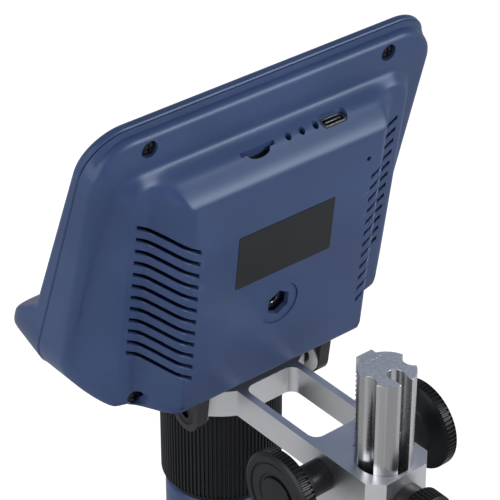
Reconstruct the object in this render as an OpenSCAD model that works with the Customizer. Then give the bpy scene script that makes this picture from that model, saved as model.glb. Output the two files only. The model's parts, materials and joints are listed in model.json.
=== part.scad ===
// Digital microscope with its own display, on a rack-and-pinion stand.
// X runs across the base, Y from front to back and Z up. The origin is the middle of the footprint on the table.

/* [Base] */
// Width of the base plate
base_w = 120; // [100:1:150]
// Depth of the base plate
base_d = 180; // [160:1:220]
// Thickness of the base plate
base_h = 10; // [7:0.5:14]
// Corner radius of the base plate
base_corner_r = 10; // [5:0.5:15]
// Chamfer round the top of the base plate
base_chamfer = 1.5; // [0.5:0.1:3]
// Diameter of a rubber foot
foot_d = 14; // [8:0.5:18]
// Height of a foot below the plate
foot_h = 2.5; // [1.5:0.1:4]
// Distance from a foot's centre to the plate's edges
foot_inset = 15; // [12:0.5:20]
// Distance of the work mat from the base plate's sides
mat_side = 20; // [18:1:30]
// Depth of the work mat
mat_d = 104; // [80:1:106]
// Thickness of the work mat
mat_h = 1.6; // [1:0.1:2.5]
// Depth of the pocket that the mat lies in
mat_pocket = 0.8; // [0.4:0.1:1]

/* [Stage clips] */
// Distance of a clip's pivot from the base plate's side
clip_side = 10; // [8:0.5:14]
// Distance of a clip's pivot behind the optical axis
clip_back = 26; // [15:1:32]
// Length of a clip from its pivot to its tip
clip_len = 46; // [35:1:55]
// Width of the clip's spring strip
clip_w = 7; // [5:0.5:9]
// Thickness of the spring strip
clip_t = 0.8; // [0.5:0.1:1.2]
// Angle of a clip, turned inwards from straight ahead
clip_turn = 18; // [5:1:30]

/* [Column] */
// Diameter of the column
column_d = 15.8; // [15:0.1:17]
// Height of the column above the base plate
column_len = 164.8; // [150:0.1:190]
// Distance from the column's centre to the base plate's rear edge
column_inset = 27.7; // [22:0.1:34]
// Distance from the optical axis to the column's centre
throat = 69.3; // [66:0.1:76]
// Radius of the round groove down each side
groove_r = 3.2; // [2.8:0.1:3.4]
// Depth of the side grooves
groove_depth = 2.4; // [1.6:0.1:2.6]
// Distance of the side grooves behind the column's centre
groove_back = 0.85; // [0:0.05:1.5]
// Diameter of the keyhole down the back
keyhole_d = 4.7; // [4.2:0.1:5]
// Distance of the keyhole behind the column's centre
keyhole_back = 3.3; // [3:0.1:3.6]
// Width of the slot that opens the keyhole
keyhole_slot = 3.8; // [3:0.1:4]

/* [Rack and pinion] */
// Tooth module of the rack and the pinion
tooth_module = 0.5; // [0.4:0.05:0.6]
// Teeth on the pinion
pinion_teeth = 14; // [12:1:16]
// Width of the pinion
pinion_w = 7; // [6:0.5:8]
// Width of the rack bar
rack_w = 5.4; // [4:0.1:6]
// Distance from the column's centre to the rack's pitch line
rack_offset = 8.7; // [8.6:0.05:9.2]
// Depth of the rack bar behind its tooth roots
rack_back = 2.6; // [2:0.1:3]
// Plain length at the top of the rack bar
rack_plain = 4; // [2:0.5:8]
// Height of the lowest tooth above the base plate
rack_low = 60; // [50:1:75]
// Play between the teeth along the pitch line
backlash = 0.08; // [0.05:0.01:0.12]

/* [Arm] */
// Height of the arm's top face above the table, in the middle of its travel
arm_z = 148; // [136:0.5:160]
// Width of the arm
arm_w = 22.3; // [22:0.1:25]
// Thickness of the arm
arm_t = 8.5; // [8:0.1:10]
// Outer radius of the lens ring
ring_r = 24; // [23.5:0.1:25.5]
// Width of the window through the arm
window_w = 17.8; // [14:0.1:18]
// Distance from the optical axis to the window's front edge
window_front = 21.6; // [21.4:0.1:24]
// Corner radius of the window
window_corner_r = 3; // [1:0.1:5]
// Height of the block that rides on the column
block_h = 20; // [18:0.5:24]
// Thickness of the block in front of the pinion
block_front = 1.4; // [1.2:0.1:2.5]
// Thickness of the block behind the column
block_rear = 1.15; // [1:0.05:3]
// Chamfer on the block's rear corners
block_chamfer = 4; // [2:0.1:4.5]

/* [Focus drive] */
// Distance of the shaft below the arm's top face
shaft_drop = 7.4; // [6.5:0.1:8.5]
// Diameter of the shaft
shaft_d = 5; // [4:0.1:5.4]
// Radius of a knob over its knurl
knob_r = 13.2; // [11:0.1:15]
// Thickness of a knob's rim
knob_rim = 4.35; // [3:0.05:6]
// Distance from the middle to a knob's outer face
knob_out = 27.2; // [26:0.1:32]
// Knurls round a knob
knurls = 64; // [40:1:80]
// Radius of the bearing collars
collar_r = 4.7; // [4.5:0.1:5.5]

/* [Lock screw] */
// Distance of the lock screw below the arm's top face
lock_drop = 8.4; // [7:0.1:10]
// Radius of the lock knob
lock_r = 6.8; // [5.5:0.1:8]
// Length of the lock knob's grip
lock_grip = 7; // [5:0.5:10]
// Length of the lock bush behind the block
lock_neck = 3.9; // [2:0.1:6]
// Diameter of the lock screw
lock_d = 4; // [3:0.5:4]

/* [Lens barrel] */
// Radius over the focus ring's ribs
focus_r = 17.8; // [17.4:0.1:19]
// Length of the focus ring
focus_len = 36.7; // [30:0.1:45]
// Ribs round the focus ring
focus_ribs = 90; // [60:1:110]
// Depth of the ribs
rib_depth = 0.5; // [0.3:0.05:0.8]
// Outer radius of the sleeve that carries the lens
sleeve_r = 15; // [14.8:0.1:15.4]
// Wall of the sleeve
sleeve_wall = 2; // [1.5:0.1:2.2]
// Radius of the light hood
hood_r = 16.6; // [16.3:0.1:17.4]
// Length of the light hood
hood_len = 16.2; // [15:0.1:22]
// Distance of the lens carrier below the arm's top face
carrier_drop = 20; // [18:0.5:24]
// Length of the lens carrier
carrier_len = 24; // [20:0.5:26]
// Distance of the guide pins below the carrier's top
guide_drop = 10; // [8:0.5:12]
// Focus travel of the lens each way
lens_travel = 2; // [1:0.1:2.2]
// Radius of the lens nose
nose_r = 7.8; // [7:0.1:8]

/* [Display head] */
// Distance from the optical axis to the back face, square to it
back_reach = 22.45; // [22:0.05:24]
// Lean of the back face from upright
back_lean = 6.72; // [4:0.02:9]
// Lean of the screen against the back face
screen_lean = 15.11; // [13:0.01:16]
// Distance from the display module to the head's side
head_side = 5.1; // [4.5:0.1:7]
// Lower edge of the head
head_low = 4.5; // [4:0.1:6]
// Upper edge of the back shell at the parting line
head_high = 97.3; // [96:0.1:99]
// Growth of the bezel above the parting line
bezel_rise = 1.3; // [0.5:0.1:2]
// Depth from the back face to the screen side at the lower edge
head_depth = 40.97; // [40:0.01:43]
// Radius of the lower corners
low_corner_r = 19; // [14:0.5:22]
// Radius of the upper corners
high_corner_r = 12.5; // [9:0.5:16]
// Wall of both shells
shell_wall = 2; // [1.6:0.1:2.2]
// Depth of the raised back above the terrace
step_depth = 7.8; // [6:0.1:8.4]
// Depth of the top flange below the back face
flange_depth = 10.15; // [9.6:0.05:10.6]
// Radius round the screen side's edge
bezel_edge = 1.5; // [0.8:0.1:2]

/* [Vents] */
// Vent slots on each side
vents = 12; // [6:1:13]
// Pitch of the slots
vent_pitch = 3.91; // [3:0.05:4.2]
// Inner end of the highest slot
vent_high = 59.6; // [56:0.1:61]
// Distance of the slots' inner ends from the head's side
vent_side = 28.5; // [27:0.1:30]
// Span of a slot across the step
vent_span = 15.4; // [10:0.1:16]
// Rise of a slot over its span
vent_rise = 9.5; // [5:0.1:11]
// Width of a slot
vent_w = 1.3; // [0.8:0.05:1.8]

/* [Openings in the back] */
// Width of the label
label_w = 33; // [26:0.5:40]
// Height of the label
label_h = 17.3; // [12:0.1:22]
// Lower edge of the label
label_low = 41.9; // [38:0.1:44]
// Distance of the rear nut up the back
nut_v = 29.9; // [28:0.1:34]
// Width of the rear nut across its corners
nut_d = 8.08; // [7:0.01:9]
// Thickness of the rear nut
nut_t = 3.2; // [2.4:0.1:4]
// Distance of the USB port from the middle
port_x = -18.25; // [-22:0.05:-16]
// Distance of the card slot from the middle
socket_x = 7.65; // [5:0.05:12]
// Distance of the ports below the back face
port_d = 6.2; // [5.8:0.1:6.4]
// Radius of a case screw's recess
recess_r = 2.5; // [2.3:0.1:3]
// Depth of a case screw's recess
recess_depth = 1.5; // [1:0.1:2]

/* [Screen and buttons] */
// Border of the display module beside the picture
lcd_side = 5.2; // [4:0.1:6.5]
// Height of the display module
lcd_h = 64; // [60:0.1:65]
// Thickness of the display module
lcd_t = 2.5; // [2:0.1:2.6]
// Lower edge of the module along the screen side
lcd_low = 23.7; // [23:0.1:23.8]
// Width of the visible picture
view_w = 95; // [88:0.1:97]
// Height of the visible picture
view_h = 53.9; // [48:0.1:55]
// Thickness of the cover glass
glass_t = 1; // [0.6:0.1:1.2]
// Number of buttons
buttons = 6; // [4:1:6]
// Pitch of the buttons
button_pitch = 13; // [11:0.5:14]
// Radius of a button
button_r = 3.6; // [3:0.1:4]
// Travel of a button
button_travel = 0.8; // [0.4:0.1:1]
// Height of the control panel in front of the screen side
chin_out = 10.7; // [9:0.1:11.5]

/* [Hinge] */
// Distance of the hinge pin behind the optical axis
hinge_back = 13.9; // [13:0.1:14.4]
// Distance of the hinge pin below the arm's top face
hinge_drop = 5.6; // [5:0.1:6]
// Distance from the middle to a hinge ear's outer face
ear_out = 24; // [23.6:0.1:25]
// Radius of a hinge ear
ear_r = 5.7; // [5.4:0.1:6.4]
// Diameter of the hinge pin
hinge_d = 4; // [3:0.1:4.2]

/* [Hidden] */

// Clearances: touch is a running fit, play a loose one.
touch = 0.05;
play = 0.3;
screw_gap = 0.08;
cut = 0.01;

base_top = foot_h + base_h;
mat_top = base_top + mat_h - mat_pocket;
mat_w = base_w - 2 * mat_side;
clip_x = base_w / 2 - clip_side;
foot_sink = 0.8;
foot_bevel = 1;
column_y = base_d / 2 - column_inset;
axis_y = column_y - throat;
column_top = base_top + column_len;
groove_x = column_d / 2 - groove_depth + groove_r;
screw_x = 2.9;
screw_y = -1.6;

tooth_pitch = PI * tooth_module;
pinion_r = pinion_teeth * tooth_module / 2;
tooth_up = 0.8 * tooth_module;
tooth_down = 1.25 * tooth_module;
pinion_tip = pinion_r + tooth_module;
shaft_y = column_y - rack_offset - pinion_r;
shaft_z = arm_z - shaft_drop;
bush_r = pinion_tip + 0.1;
pinion_base = pinion_r * cos(20);

arm_bottom = arm_z - arm_t;
block_y0 = shaft_y - bush_r - block_front;
block_y1 = column_y + column_d / 2 + touch + block_rear;
ring_bore = sleeve_r;
flange_r = sleeve_r + 4;
flange_t = 2;
flange_sink = 0.5;
lock_z = arm_z - lock_drop;
lock_y = block_y1 + lock_neck;

focus_top = arm_bottom - play;
focus_bottom = focus_top - focus_len;
hood_top = focus_bottom - play;
hood_bottom = hood_top - hood_len;
seat_z = hood_top - 4.4;
board_z = seat_z - 1.6;
sleeve_bottom = seat_z;
sleeve_in = sleeve_r - sleeve_wall;
carrier_r = sleeve_in - touch;
carrier_top = arm_z - carrier_drop;
carrier_bottom = carrier_top - carrier_len;
nose_bottom = hood_bottom + lens_travel + 1.2;
guide_z = carrier_top - guide_drop;
guide_r = 1;

hinge_y = axis_y + hinge_back;
hinge_z = arm_z - hinge_drop;
ear_t = 3.7;
flat_x = ear_out - ear_t - 0.5;

// The head is as wide as its display module and a margin. Its own frame: x across, v up the back face, d from
// the back face towards the screen.
lcd_w = view_w + 2 * lcd_side;
head_hw = lcd_w / 2 + head_side;
riser_hw = head_hw - 6;
terrace_hw = head_hw - 11.4;
step_hw = head_hw - 15.8;
vent_inner = head_hw - vent_side;
head_y = axis_y + back_reach * cos(back_lean);
head_z = arm_z - back_reach * sin(back_lean);
pin_y = hinge_y - head_y;
pin_z = hinge_z - head_z;
hinge_v = pin_y * sin(back_lean) + pin_z * cos(back_lean);
hinge_dd = -pin_y * cos(back_lean) + pin_z * sin(back_lean);
bezel_low = 6 * sin(screen_lean);
bezel_high = (head_high + bezel_rise - head_low) / cos(screen_lean);
bezel_t = 8;
parting_lean = screen_lean - 1.96;
parting_depth = head_depth - 6;
side_sink = 0.145;
terrace_sink = 0.04;
edge_r = 2.5;
post_x = head_hw - 17.6;
post_high = head_high - 6.1;
post_low = head_low + 3.9;
face_t = 2.2;
board_d = 7.8;
board_t = 1.2;
board_w = 56;
board_low = 40;
board_high = 78;
board_edge = 4;

// The control panel: a flat slope from under the screen to a round nose, with a frame of its own: x across,
// p down the slope and q out of it.
chin_low = 7.7;
chin_high = 30;
chin_hw = head_hw - 3.8;
chin_end_w = 10;
chin_end_h = 4.5;
nose_round = 2;
nose_s = 15;
nose_w = chin_out - nose_round;
chin_reach = norm([chin_high - nose_s, nose_w]);
chin_lean = atan(nose_w / (chin_high - nose_s)) + asin(nose_round / chin_reach);
slope_len = sqrt(chin_reach * chin_reach - nose_round * nose_round);
flange_q = shell_wall + play;
stem_q = flange_q + 2.2;
switch_q = stem_q + button_travel + 0.1;
key_board_q = switch_q + 2.5;
view_high = lcd_low + lcd_h - 2.6;
glass_hw = view_w / 2 + 3.5;
glass_low = chin_high + 0.6;
glass_high = view_high + 3.5;
foot_v = head_low + 6;
ear_mid = ear_out - ear_t / 2;

function clamp(t) = max(0, min(1, t));
function ease(a, b, t) = let (k = clamp((t - a) / (b - a))) k * k * (3 - 2 * k);

// Distance inwards from a rounded outline that is open at its lower edge
function inset(x, v, half, high, r) =
    let (px = abs(x) - half + r, pv = v - high + r)
    r - (px > 0 && pv > 0 ? norm([px, pv]) : max(px, pv));

// Distance inwards from a rounded outline that has a lower edge as well
function inset_all(x, v, half, low, high, r_low, r_high) =
    let (px = abs(x) - half + r_low, pv = low + r_low - v)
    px > 0 && pv > 0 ? r_low - norm([px, pv]) : min(inset(x, v, half, high, r_high), v - low);

// Depth of the back at a place: a flange, a riser to the terrace, and a second riser to the back face
function flange_at(v) = flange_depth + side_sink * max(0, 88 - v);
function terrace_at(v) = step_depth + terrace_sink * max(0, 75 - v);
function base_half(v) = min(head_hw - 1, riser_hw + 0.095 * (72 - v));
function back_at(x, v) =
    let (
        q1 = inset(x, v, base_half(v), head_high - 12.3, 9),
        q2 = inset(x, v, step_hw - 0.4, head_high - 13.3, 8)
    )
    flange_at(v) - (flange_at(v) - terrace_at(v)) * ease(0, base_half(v) - terrace_hw, q1)
        - terrace_at(v) * ease(0, 10, q2);
function rounding(x, v) =
    let (q = inset_all(x, v, head_hw - 0.4, head_low, head_high - 1.7, low_corner_r, high_corner_r))
    edge_r - sqrt(max(0, edge_r * edge_r - pow(max(0, edge_r - q), 2)));
function screen_at(v) = head_depth - tan(screen_lean) * (v - head_low);

// A rounded outline, as points that correspond from one size to the next
function arc_points(cx, cv, r, start, n) =
    [for (i = [0:n]) let (a = start + 90 * i / n) [cx + r * cos(a), cv + r * sin(a)]];
function between(p, q, n) = [for (i = [1:n - 1]) p + (q - p) * i / n];
// The same, but closer together near both ends, where the back steps down
function crowded(p, q, n) = [for (i = [1:n - 1]) p + (q - p) * (i / n - sin(360 * i / n) / 8)];
function outline(half, low, high, r_low, r_high) =
    let (
        n = 6,
        a = arc_points(half - r_low, low + r_low, r_low, -90, n),
        b = arc_points(half - r_high, high - r_high, r_high, 0, n),
        c = arc_points(r_high - half, high - r_high, r_high, 90, n),
        d = arc_points(r_low - half, low + r_low, r_low, 180, n)
    )
    concat(a, between(a[n], b[0], 5), b, crowded(b[n], c[0], 10), c, between(c[n], d[0], 5), d,
        crowded(d[n], a[0], 10));

// Half width of the outline at distance e inside the outer one, at a height
function rim_x(v, e) =
    let (r = low_corner_r - e, drop = max(0, head_low + low_corner_r - v))
    head_hw - 0.4 - low_corner_r + sqrt(max(0, r * r - drop * drop));

// One ring of a shell, at the back surface plus an allowance. It flares towards its lower end, but stays
// inside the rim.
function back_ring(s, extra, wall) =
    [for (p = outline(s[0], s[1], s[2], s[3], s[4]))
        let (
            flared = abs(p.x) * (1 + s[5] * (72 - p.y) / s[0]),
            x = sign(p.x) * min(flared, rim_x(p.y, wall > 0 ? wall : edge_r) - s[6]),
            k = wall * 0.6
        )
        [x, p.y, back_at(abs(x) + k, p.y + k) + wall + extra * rounding(x, p.y)]];
function flat_ring(s, lean, depth) =
    [for (p = outline(s[0], s[1], s[2], s[3], s[4])) [p.x, p.y, depth - tan(lean) * (p.y - head_low)]];

// A closed solid through rings of the same number of points, whichever way they are stacked
module loft(rings) {
    n = len(rings[0]);
    m = len(rings);
    rising = rings[m - 1][0].z > rings[0][0].z;
    sides = [for (k = [0:m - 2], i = [0:n - 1]) let (j = (i + 1) % n, a = k * n, b = a + n)
        each [[a + i, a + j, b + j], [a + i, b + j, b + i]]];
    caps = [[for (i = [n - 1:-1:0]) i], [for (i = [0:n - 1]) (m - 1) * n + i]];
    polyhedron(points = [for (ring = rings) each ring], faces = [for (f = concat(caps, sides))
        rising ? [for (i = [len(f) - 1:-1:0]) f[i]] : f]);
}

module head() {
    translate([0, head_y, head_z]) rotate([90 - back_lean, 0, 0]) children();
}

module screen_local() {
    translate([0, head_low, head_depth]) rotate([-screen_lean, 0, 0]) children();
}

module panel_local() {
    screen_local() translate([0, chin_high, 0]) rotate([-chin_lean, 0, 0])
        translate([0, -slope_len / 2, 0]) children();
}

module both_sides() {
    children();
    mirror([1, 0, 0]) children();
}

module along_x(x) {
    translate([x, 0, 0]) rotate([90, 0, 90]) children();
}

// A cylinder along X, in the machine's frame
module x_rod(x0, x1, y, z, r) {
    translate([x0, y, z]) rotate([0, 90, 0]) cylinder(h = x1 - x0, r = r, $fn = 64);
}

module y_rod(y0, y1, x, z, r) {
    translate([x, y0, z]) rotate([-90, 0, 0]) cylinder(h = y1 - y0, r = r, $fn = 64);
}

module tube(z0, z1, r, bore) {
    translate([0, 0, z0]) difference() {
        cylinder(h = z1 - z0, r = r, $fn = 96);
        translate([0, 0, -1]) cylinder(h = z1 - z0 + 2, r = bore, $fn = 96);
    }
}

module rounded_square(w, d, r) {
    square([w - 2 * r, d], center = true);
    square([w, d - 2 * r], center = true);
    for (x = [-1, 1], y = [-1, 1]) translate([x * (w / 2 - r), y * (d / 2 - r)]) circle(r = r, $fn = 48);
}

// A plate with round corners and a chamfer all round its top
module chamfered_plate(w, d, h, r, c) {
    module rail(half, length) {
        rotate([90, 0, 0]) linear_extrude(length, center = true)
            polygon([[-half, 0], [half, 0], [half, h - c], [half - c, h], [c - half, h], [-half, h - c]]);
    }
    rail(w / 2, d - 2 * r);
    rotate([0, 0, 90]) rail(d / 2, w - 2 * r);
    for (x = [-1, 1], y = [-1, 1]) translate([x * (w / 2 - r), y * (d / 2 - r), 0]) {
        cylinder(h = h - c, r = r, $fn = 64);
        translate([0, 0, h - c]) cylinder(h = c, r1 = r, r2 = r - c, $fn = 64);
    }
}

// A round profile with straight ribs
module ribbed(r, depth, count) {
    polygon([for (i = [0:count - 1], k = [0:3])
        let (a = 360 * (i + [0, 0.2, 0.5, 0.7][k]) / count, q = k == 0 || k == 3 ? r - depth : r)
        q * [cos(a), sin(a)]]);
}

module machine_screw(d, length, head_d, head_h, socket) {
    cylinder(h = length, d = d, $fn = 32);
    difference() {
        translate([0, 0, -head_h]) cylinder(h = head_h, d = head_d, $fn = 48);
        translate([0, 0, -head_h - 1]) cylinder(h = 1 + head_h * 0.6, d = socket, $fn = 6);
    }
}

module base_plate() color("silver") difference() {
    translate([0, 0, foot_h]) chamfered_plate(base_w, base_d, base_h, base_corner_r, base_chamfer);
    translate([0, axis_y, base_top - mat_pocket]) linear_extrude(mat_h) rounded_square(mat_w, mat_d, 5);
    feet_places() translate([0, 0, foot_h - 1]) cylinder(h = 1 + foot_sink, d = foot_d, $fn = 48);
    for (x = [-screw_x, screw_x]) translate([x, column_y + screw_y, foot_h - 1]) {
        cylinder(h = 1 + base_h + 1, r = 1.6, $fn = 32);
        cylinder(h = 1 + base_h / 2, r = 2.85, $fn = 32);
    }
    both_sides() translate([clip_x, axis_y + clip_back, base_top - 6]) cylinder(h = 7, r = 1.5, $fn = 32);
}

module feet_places() {
    for (x = [-1, 1], y = [-1, 1])
        translate([x * (base_w / 2 - foot_inset), y * (base_d / 2 - foot_inset), 0]) children();
}

module work_mat() color([0.12, 0.13, 0.14])
    translate([0, axis_y, base_top - mat_pocket]) linear_extrude(mat_h) rounded_square(mat_w, mat_d, 5);

module rubber_feet() color([0.08, 0.08, 0.08]) feet_places() difference() {
    union() {
        cylinder(h = foot_bevel, d1 = foot_d - 2 * foot_bevel, d2 = foot_d, $fn = 48);
        translate([0, 0, foot_bevel]) cylinder(h = foot_h + foot_sink - foot_bevel, d = foot_d, $fn = 48);
    }
    translate([0, 0, -cut]) cylinder(h = foot_h / 2, d = foot_d * 0.4, $fn = 32);
}

module column() color([0.8, 0.81, 0.83]) translate([0, column_y, base_top]) difference() {
    linear_extrude(column_len) difference() {
        circle(d = column_d, $fn = 96);
        for (s = [-1, 1]) translate([s * groove_x, groove_back]) circle(r = groove_r, $fn = 64);
        translate([0, keyhole_back]) circle(d = keyhole_d, $fn = 48);
        translate([-keyhole_slot / 2, keyhole_back]) square([keyhole_slot, column_d]);
        translate([-rack_w / 2, -column_d]) square([rack_w, column_d - rack_offset + tooth_down + rack_back]);
    }
    for (x = [-screw_x, screw_x]) translate([x, screw_y, -1]) cylinder(h = 11, r = 1.5, $fn = 32);
}

// The rack bar: straight-sided teeth, one gap level with the pinion when the arm is in the middle of its travel
module rack() color([0.72, 0.73, 0.75]) {
    root = rack_offset - tooth_down;
    crest = rack_offset + tooth_up;
    low = ceil((base_top + rack_low - shaft_z) / tooth_pitch);
    high = floor((column_top - rack_plain - shaft_z) / tooth_pitch) - 1;
    half = (tooth_pitch - backlash) / 4;
    tip = half - tooth_up * tan(20);
    foot = half + tooth_down * tan(20);
    teeth = [for (k = [low:high]) let (z = shaft_z + (k + 0.5) * tooth_pitch)
        each [[root, z - foot], [crest, z - tip], [crest, z + tip], [root, z + foot]]];
    top = teeth[len(teeth) - 1].y;
    translate([0, column_y, 0]) rotate([90, 0, -90]) linear_extrude(rack_w, center = true) polygon(concat(
        [[root - rack_back, base_top], [root, base_top]], teeth,
        [[root, top + 0.3], [crest, top + 0.3], [crest, column_top], [root - rack_back, column_top]]));
}

module column_screws() color([0.25, 0.25, 0.27])
    for (x = [-screw_x, screw_x]) translate([x, column_y + screw_y, foot_h + base_h / 2])
        machine_screw(3, base_h / 2 + 9, 5.5, 3, 2.9);

module clip_posts() color([0.25, 0.25, 0.27]) both_sides() translate([clip_x, axis_y + clip_back, 0]) {
    translate([0, 0, base_top - 5]) cylinder(h = 5, r = 1.5, $fn = 32);
    translate([0, 0, base_top]) cylinder(h = 4, r = 4, $fn = 48);
    translate([0, 0, base_top + 4]) cylinder(h = clip_t + 0.3, r = 2.5, $fn = 48);
    translate([0, 0, base_top + 4.3 + clip_t]) linear_extrude(3.5) ribbed(5, 0.4, 30);
}

// One clip as if it pointed straight ahead from the origin: an eye, a strip that slopes to the mat and a tip
// that turns up
module clip() {
    z0 = base_top + 4.15;
    drop = z0 - mat_top - play;
    path = [[0, 0], [-0.35 * clip_len, 0], [-0.86 * clip_len, -drop], [-0.92 * clip_len, -drop],
        [-clip_len, 2.4 - drop]];
    difference() {
        union() {
            translate([0, 0, z0]) cylinder(h = clip_t, r = 5.5, $fn = 48);
            translate([-clip_w / 2, 0, z0]) rotate([90, 0, 90]) linear_extrude(clip_w)
                polygon(concat(path, [for (i = [len(path) - 1:-1:0]) path[i] + [0, clip_t]]));
        }
        translate([0, 0, z0 - 1]) cylinder(h = clip_t + 2, r = 2.5 + touch, $fn = 48);
    }
}

module clip_left() color([0.75, 0.76, 0.78])
    translate([-clip_x, axis_y + clip_back, 0]) rotate([0, 0, clip_turn]) clip();

module clip_right() color([0.75, 0.76, 0.78])
    translate([clip_x, axis_y + clip_back, 0]) rotate([0, 0, -clip_turn]) clip();

// The arm: the lens ring, a bar with a window, and the block that slides on the column
module arm() color([0.78, 0.79, 0.82]) difference() {
    union() {
        translate([0, axis_y, arm_bottom]) cylinder(h = arm_t, r = ring_r, $fn = 128);
        translate([-arm_w / 2, axis_y, arm_bottom]) cube([arm_w, block_y0 + 1 - axis_y, arm_t]);
        translate([0, 0, arm_z - block_h]) linear_extrude(block_h) polygon([
            [-arm_w / 2, block_y0], [arm_w / 2, block_y0], [arm_w / 2, block_y1 - block_chamfer],
            [arm_w / 2 - block_chamfer, block_y1], [block_chamfer - arm_w / 2, block_y1],
            [-arm_w / 2, block_y1 - block_chamfer]]);
    }
    translate([0, axis_y, 0]) {
        translate([0, 0, arm_bottom - 1]) cylinder(h = arm_t + 2, r = ring_bore, $fn = 96);
        translate([0, 0, arm_z - flange_sink - flange_t]) cylinder(h = 4, r = flange_r, $fn = 96);
        for (a = [30, 150, 270]) rotate([0, 0, a])
            translate([sleeve_r + 2, 0, arm_z - 7]) cylinder(h = 7, r = 0.8, $fn = 24);
    }
    window_d = block_y0 - axis_y - window_front;
    translate([0, axis_y + window_front + window_d / 2, arm_bottom - 1]) linear_extrude(arm_t + 2)
        rounded_square(window_w, window_d, window_corner_r);
    translate([0, column_y, arm_z - block_h - 1]) {
        cylinder(h = block_h + 2, r = column_d / 2 + touch, $fn = 96);
        translate([-rack_w / 2 - 0.1, -rack_offset - tooth_up - 0.3, 0])
            cube([rack_w + 0.2, rack_offset, block_h + 2]);
    }
    x_rod(-arm_w / 2 - 1, arm_w / 2 + 1, shaft_y, shaft_z, bush_r);
    y_rod(column_y, block_y1 + 1, 0, lock_z, lock_d / 2 + 1.2);
    both_sides() {
        translate([flat_x, axis_y + hinge_back - ear_r - 2, arm_bottom - 1])
            cube([ring_r, 2 * ear_r + 4, arm_t + 2]);
        x_rod(flat_x - 7, flat_x + 1, hinge_y, hinge_z, hinge_d / 2);
    }
}

module shaft_bushes() color([0.1, 0.1, 0.11]) both_sides() difference() {
    union() {
        x_rod(pinion_w / 2 + 0.7, arm_w / 2 + 1, shaft_y, shaft_z, bush_r);
        x_rod(arm_w / 2, knob_out - knob_rim - 5.6, shaft_y, shaft_z, collar_r);
    }
    x_rod(0, ear_out + 10, shaft_y, shaft_z, shaft_d / 2 + touch);
}

module lock_bush() color([0.1, 0.1, 0.11]) difference() {
    union() {
        y_rod(block_y1, lock_y, 0, lock_z, 5);
        y_rod(block_y1 - 0.5, block_y1 + 1, 0, lock_z, lock_d / 2 + 1.2);
    }
    y_rod(block_y1 - 2, lock_y + 1, 0, lock_z, lock_d / 2 + touch);
}

module lock_pad() color([0.85, 0.85, 0.8])
    y_rod(column_y + column_d / 2 - 0.12, block_y1 - 0.65, 0, lock_z, keyhole_slot / 2 + 0.7);

module barrel_sleeve() color([0.35, 0.36, 0.38]) translate([0, axis_y, 0]) difference() {
    union() {
        translate([0, 0, arm_z - flange_sink - flange_t]) cylinder(h = flange_t, r = flange_r, $fn = 96);
        translate([0, 0, sleeve_bottom])
            cylinder(h = arm_z - flange_sink - 1 - sleeve_bottom, r = sleeve_r, $fn = 96);
    }
    translate([0, 0, sleeve_bottom - 1]) cylinder(h = arm_z - 9 - sleeve_bottom + 1, r = sleeve_in, $fn = 96);
    translate([0, 0, arm_z - 10]) cylinder(h = 11, r = sleeve_in - 2, $fn = 96);
    translate([0, 0, arm_z - 7.2]) cylinder(h = 8, r = sleeve_in, $fn = 96);
    for (a = [30, 150, 270]) rotate([0, 0, a]) translate([sleeve_r + 2, 0, arm_z - 4]) {
        cylinder(h = 5, r = 1.1, $fn = 24);
        translate([0, 0, 4 - flange_sink - 0.9]) cylinder(h = 2, r = 1.95, $fn = 32);
    }
    both_sides() translate([sleeve_in - 1, -guide_r - touch, guide_z - lens_travel - guide_r - 0.5])
        cube([sleeve_wall + 2, 2 * guide_r + 2 * touch, 2 * (lens_travel + guide_r + 0.5)]);
}

module sleeve_screws() color([0.3, 0.3, 0.32]) translate([0, axis_y, 0])
    for (a = [30, 150, 270]) rotate([0, 0, a]) translate([sleeve_r + 2, 0, arm_z - 6]) difference() {
        union() {
            cylinder(h = 5, r = 0.8, $fn = 24);
            translate([0, 0, 6 - flange_sink - 0.9]) cylinder(h = 0.85, r = 1.85, $fn = 32);
        }
        translate([0, 0, 5.1]) cylinder(h = 1, d = 1.5, $fn = 6);
    }

module barrel_cap() color([0.1, 0.1, 0.11]) translate([0, axis_y, 0]) difference() {
    translate([0, 0, arm_z - flange_sink - 2]) cylinder(h = 1.8, r = sleeve_in, $fn = 96);
    translate([-6, -sleeve_in + 2, arm_z - flange_sink - 3]) cube([12, 2.4, 4]);
}

module sensor_board() color([0.05, 0.3, 0.15]) translate([0, axis_y, arm_z - 7.2])
    cylinder(h = 1.2, r = sleeve_in - 0.1, $fn = 96);

module image_sensor() color([0.15, 0.15, 0.17]) translate([-4.5, axis_y - 4.5, arm_z - 8.7]) cube([9, 9, 1.5]);

module lens_hood() color([0.2, 0.26, 0.42]) translate([0, axis_y, 0]) rotate_extrude($fn = 96) polygon([
    [sleeve_r, hood_top], [hood_r - 0.6, hood_top], [hood_r, hood_top - 0.8], [hood_r, hood_bottom + 1],
    [hood_r - 0.5, hood_bottom], [hood_r - 1.2, hood_bottom], [hood_r - 1.2, board_z], [nose_r + 2.2, board_z],
    [nose_r + 2.2, seat_z], [sleeve_r, seat_z]]);

module led_board() color([0.9, 0.9, 0.88]) translate([0, axis_y, 0])
    tube(board_z - 1.2, board_z, hood_r - 1.3, nose_r + 0.8);

module leds() color([1, 0.97, 0.85]) translate([0, axis_y, board_z - 2.6])
    for (i = [0:7]) rotate([0, 0, 45 * i + 22.5]) translate([(hood_r + nose_r - 0.6) / 2, 0, 0]) {
        translate([-1.4, -1.4, 0.6]) cube([2.8, 2.8, 0.8]);
        cylinder(h = 1, r = 1.1, $fn = 32);
    }

module led_diffuser() color([0.9, 0.95, 1, 0.6]) translate([0, axis_y, 0])
    tube(board_z - 6, board_z - 4.8, hood_r - 1.2, nose_r + 0.5);

module hinge_pins() color([0.3, 0.3, 0.32]) both_sides()
    translate([ear_out - 2.2, hinge_y, hinge_z]) rotate([0, -90, 0])
        machine_screw(hinge_d, ear_out - 2.2 - flat_x + 6.5, 7, 2.1, 3.46);

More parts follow.
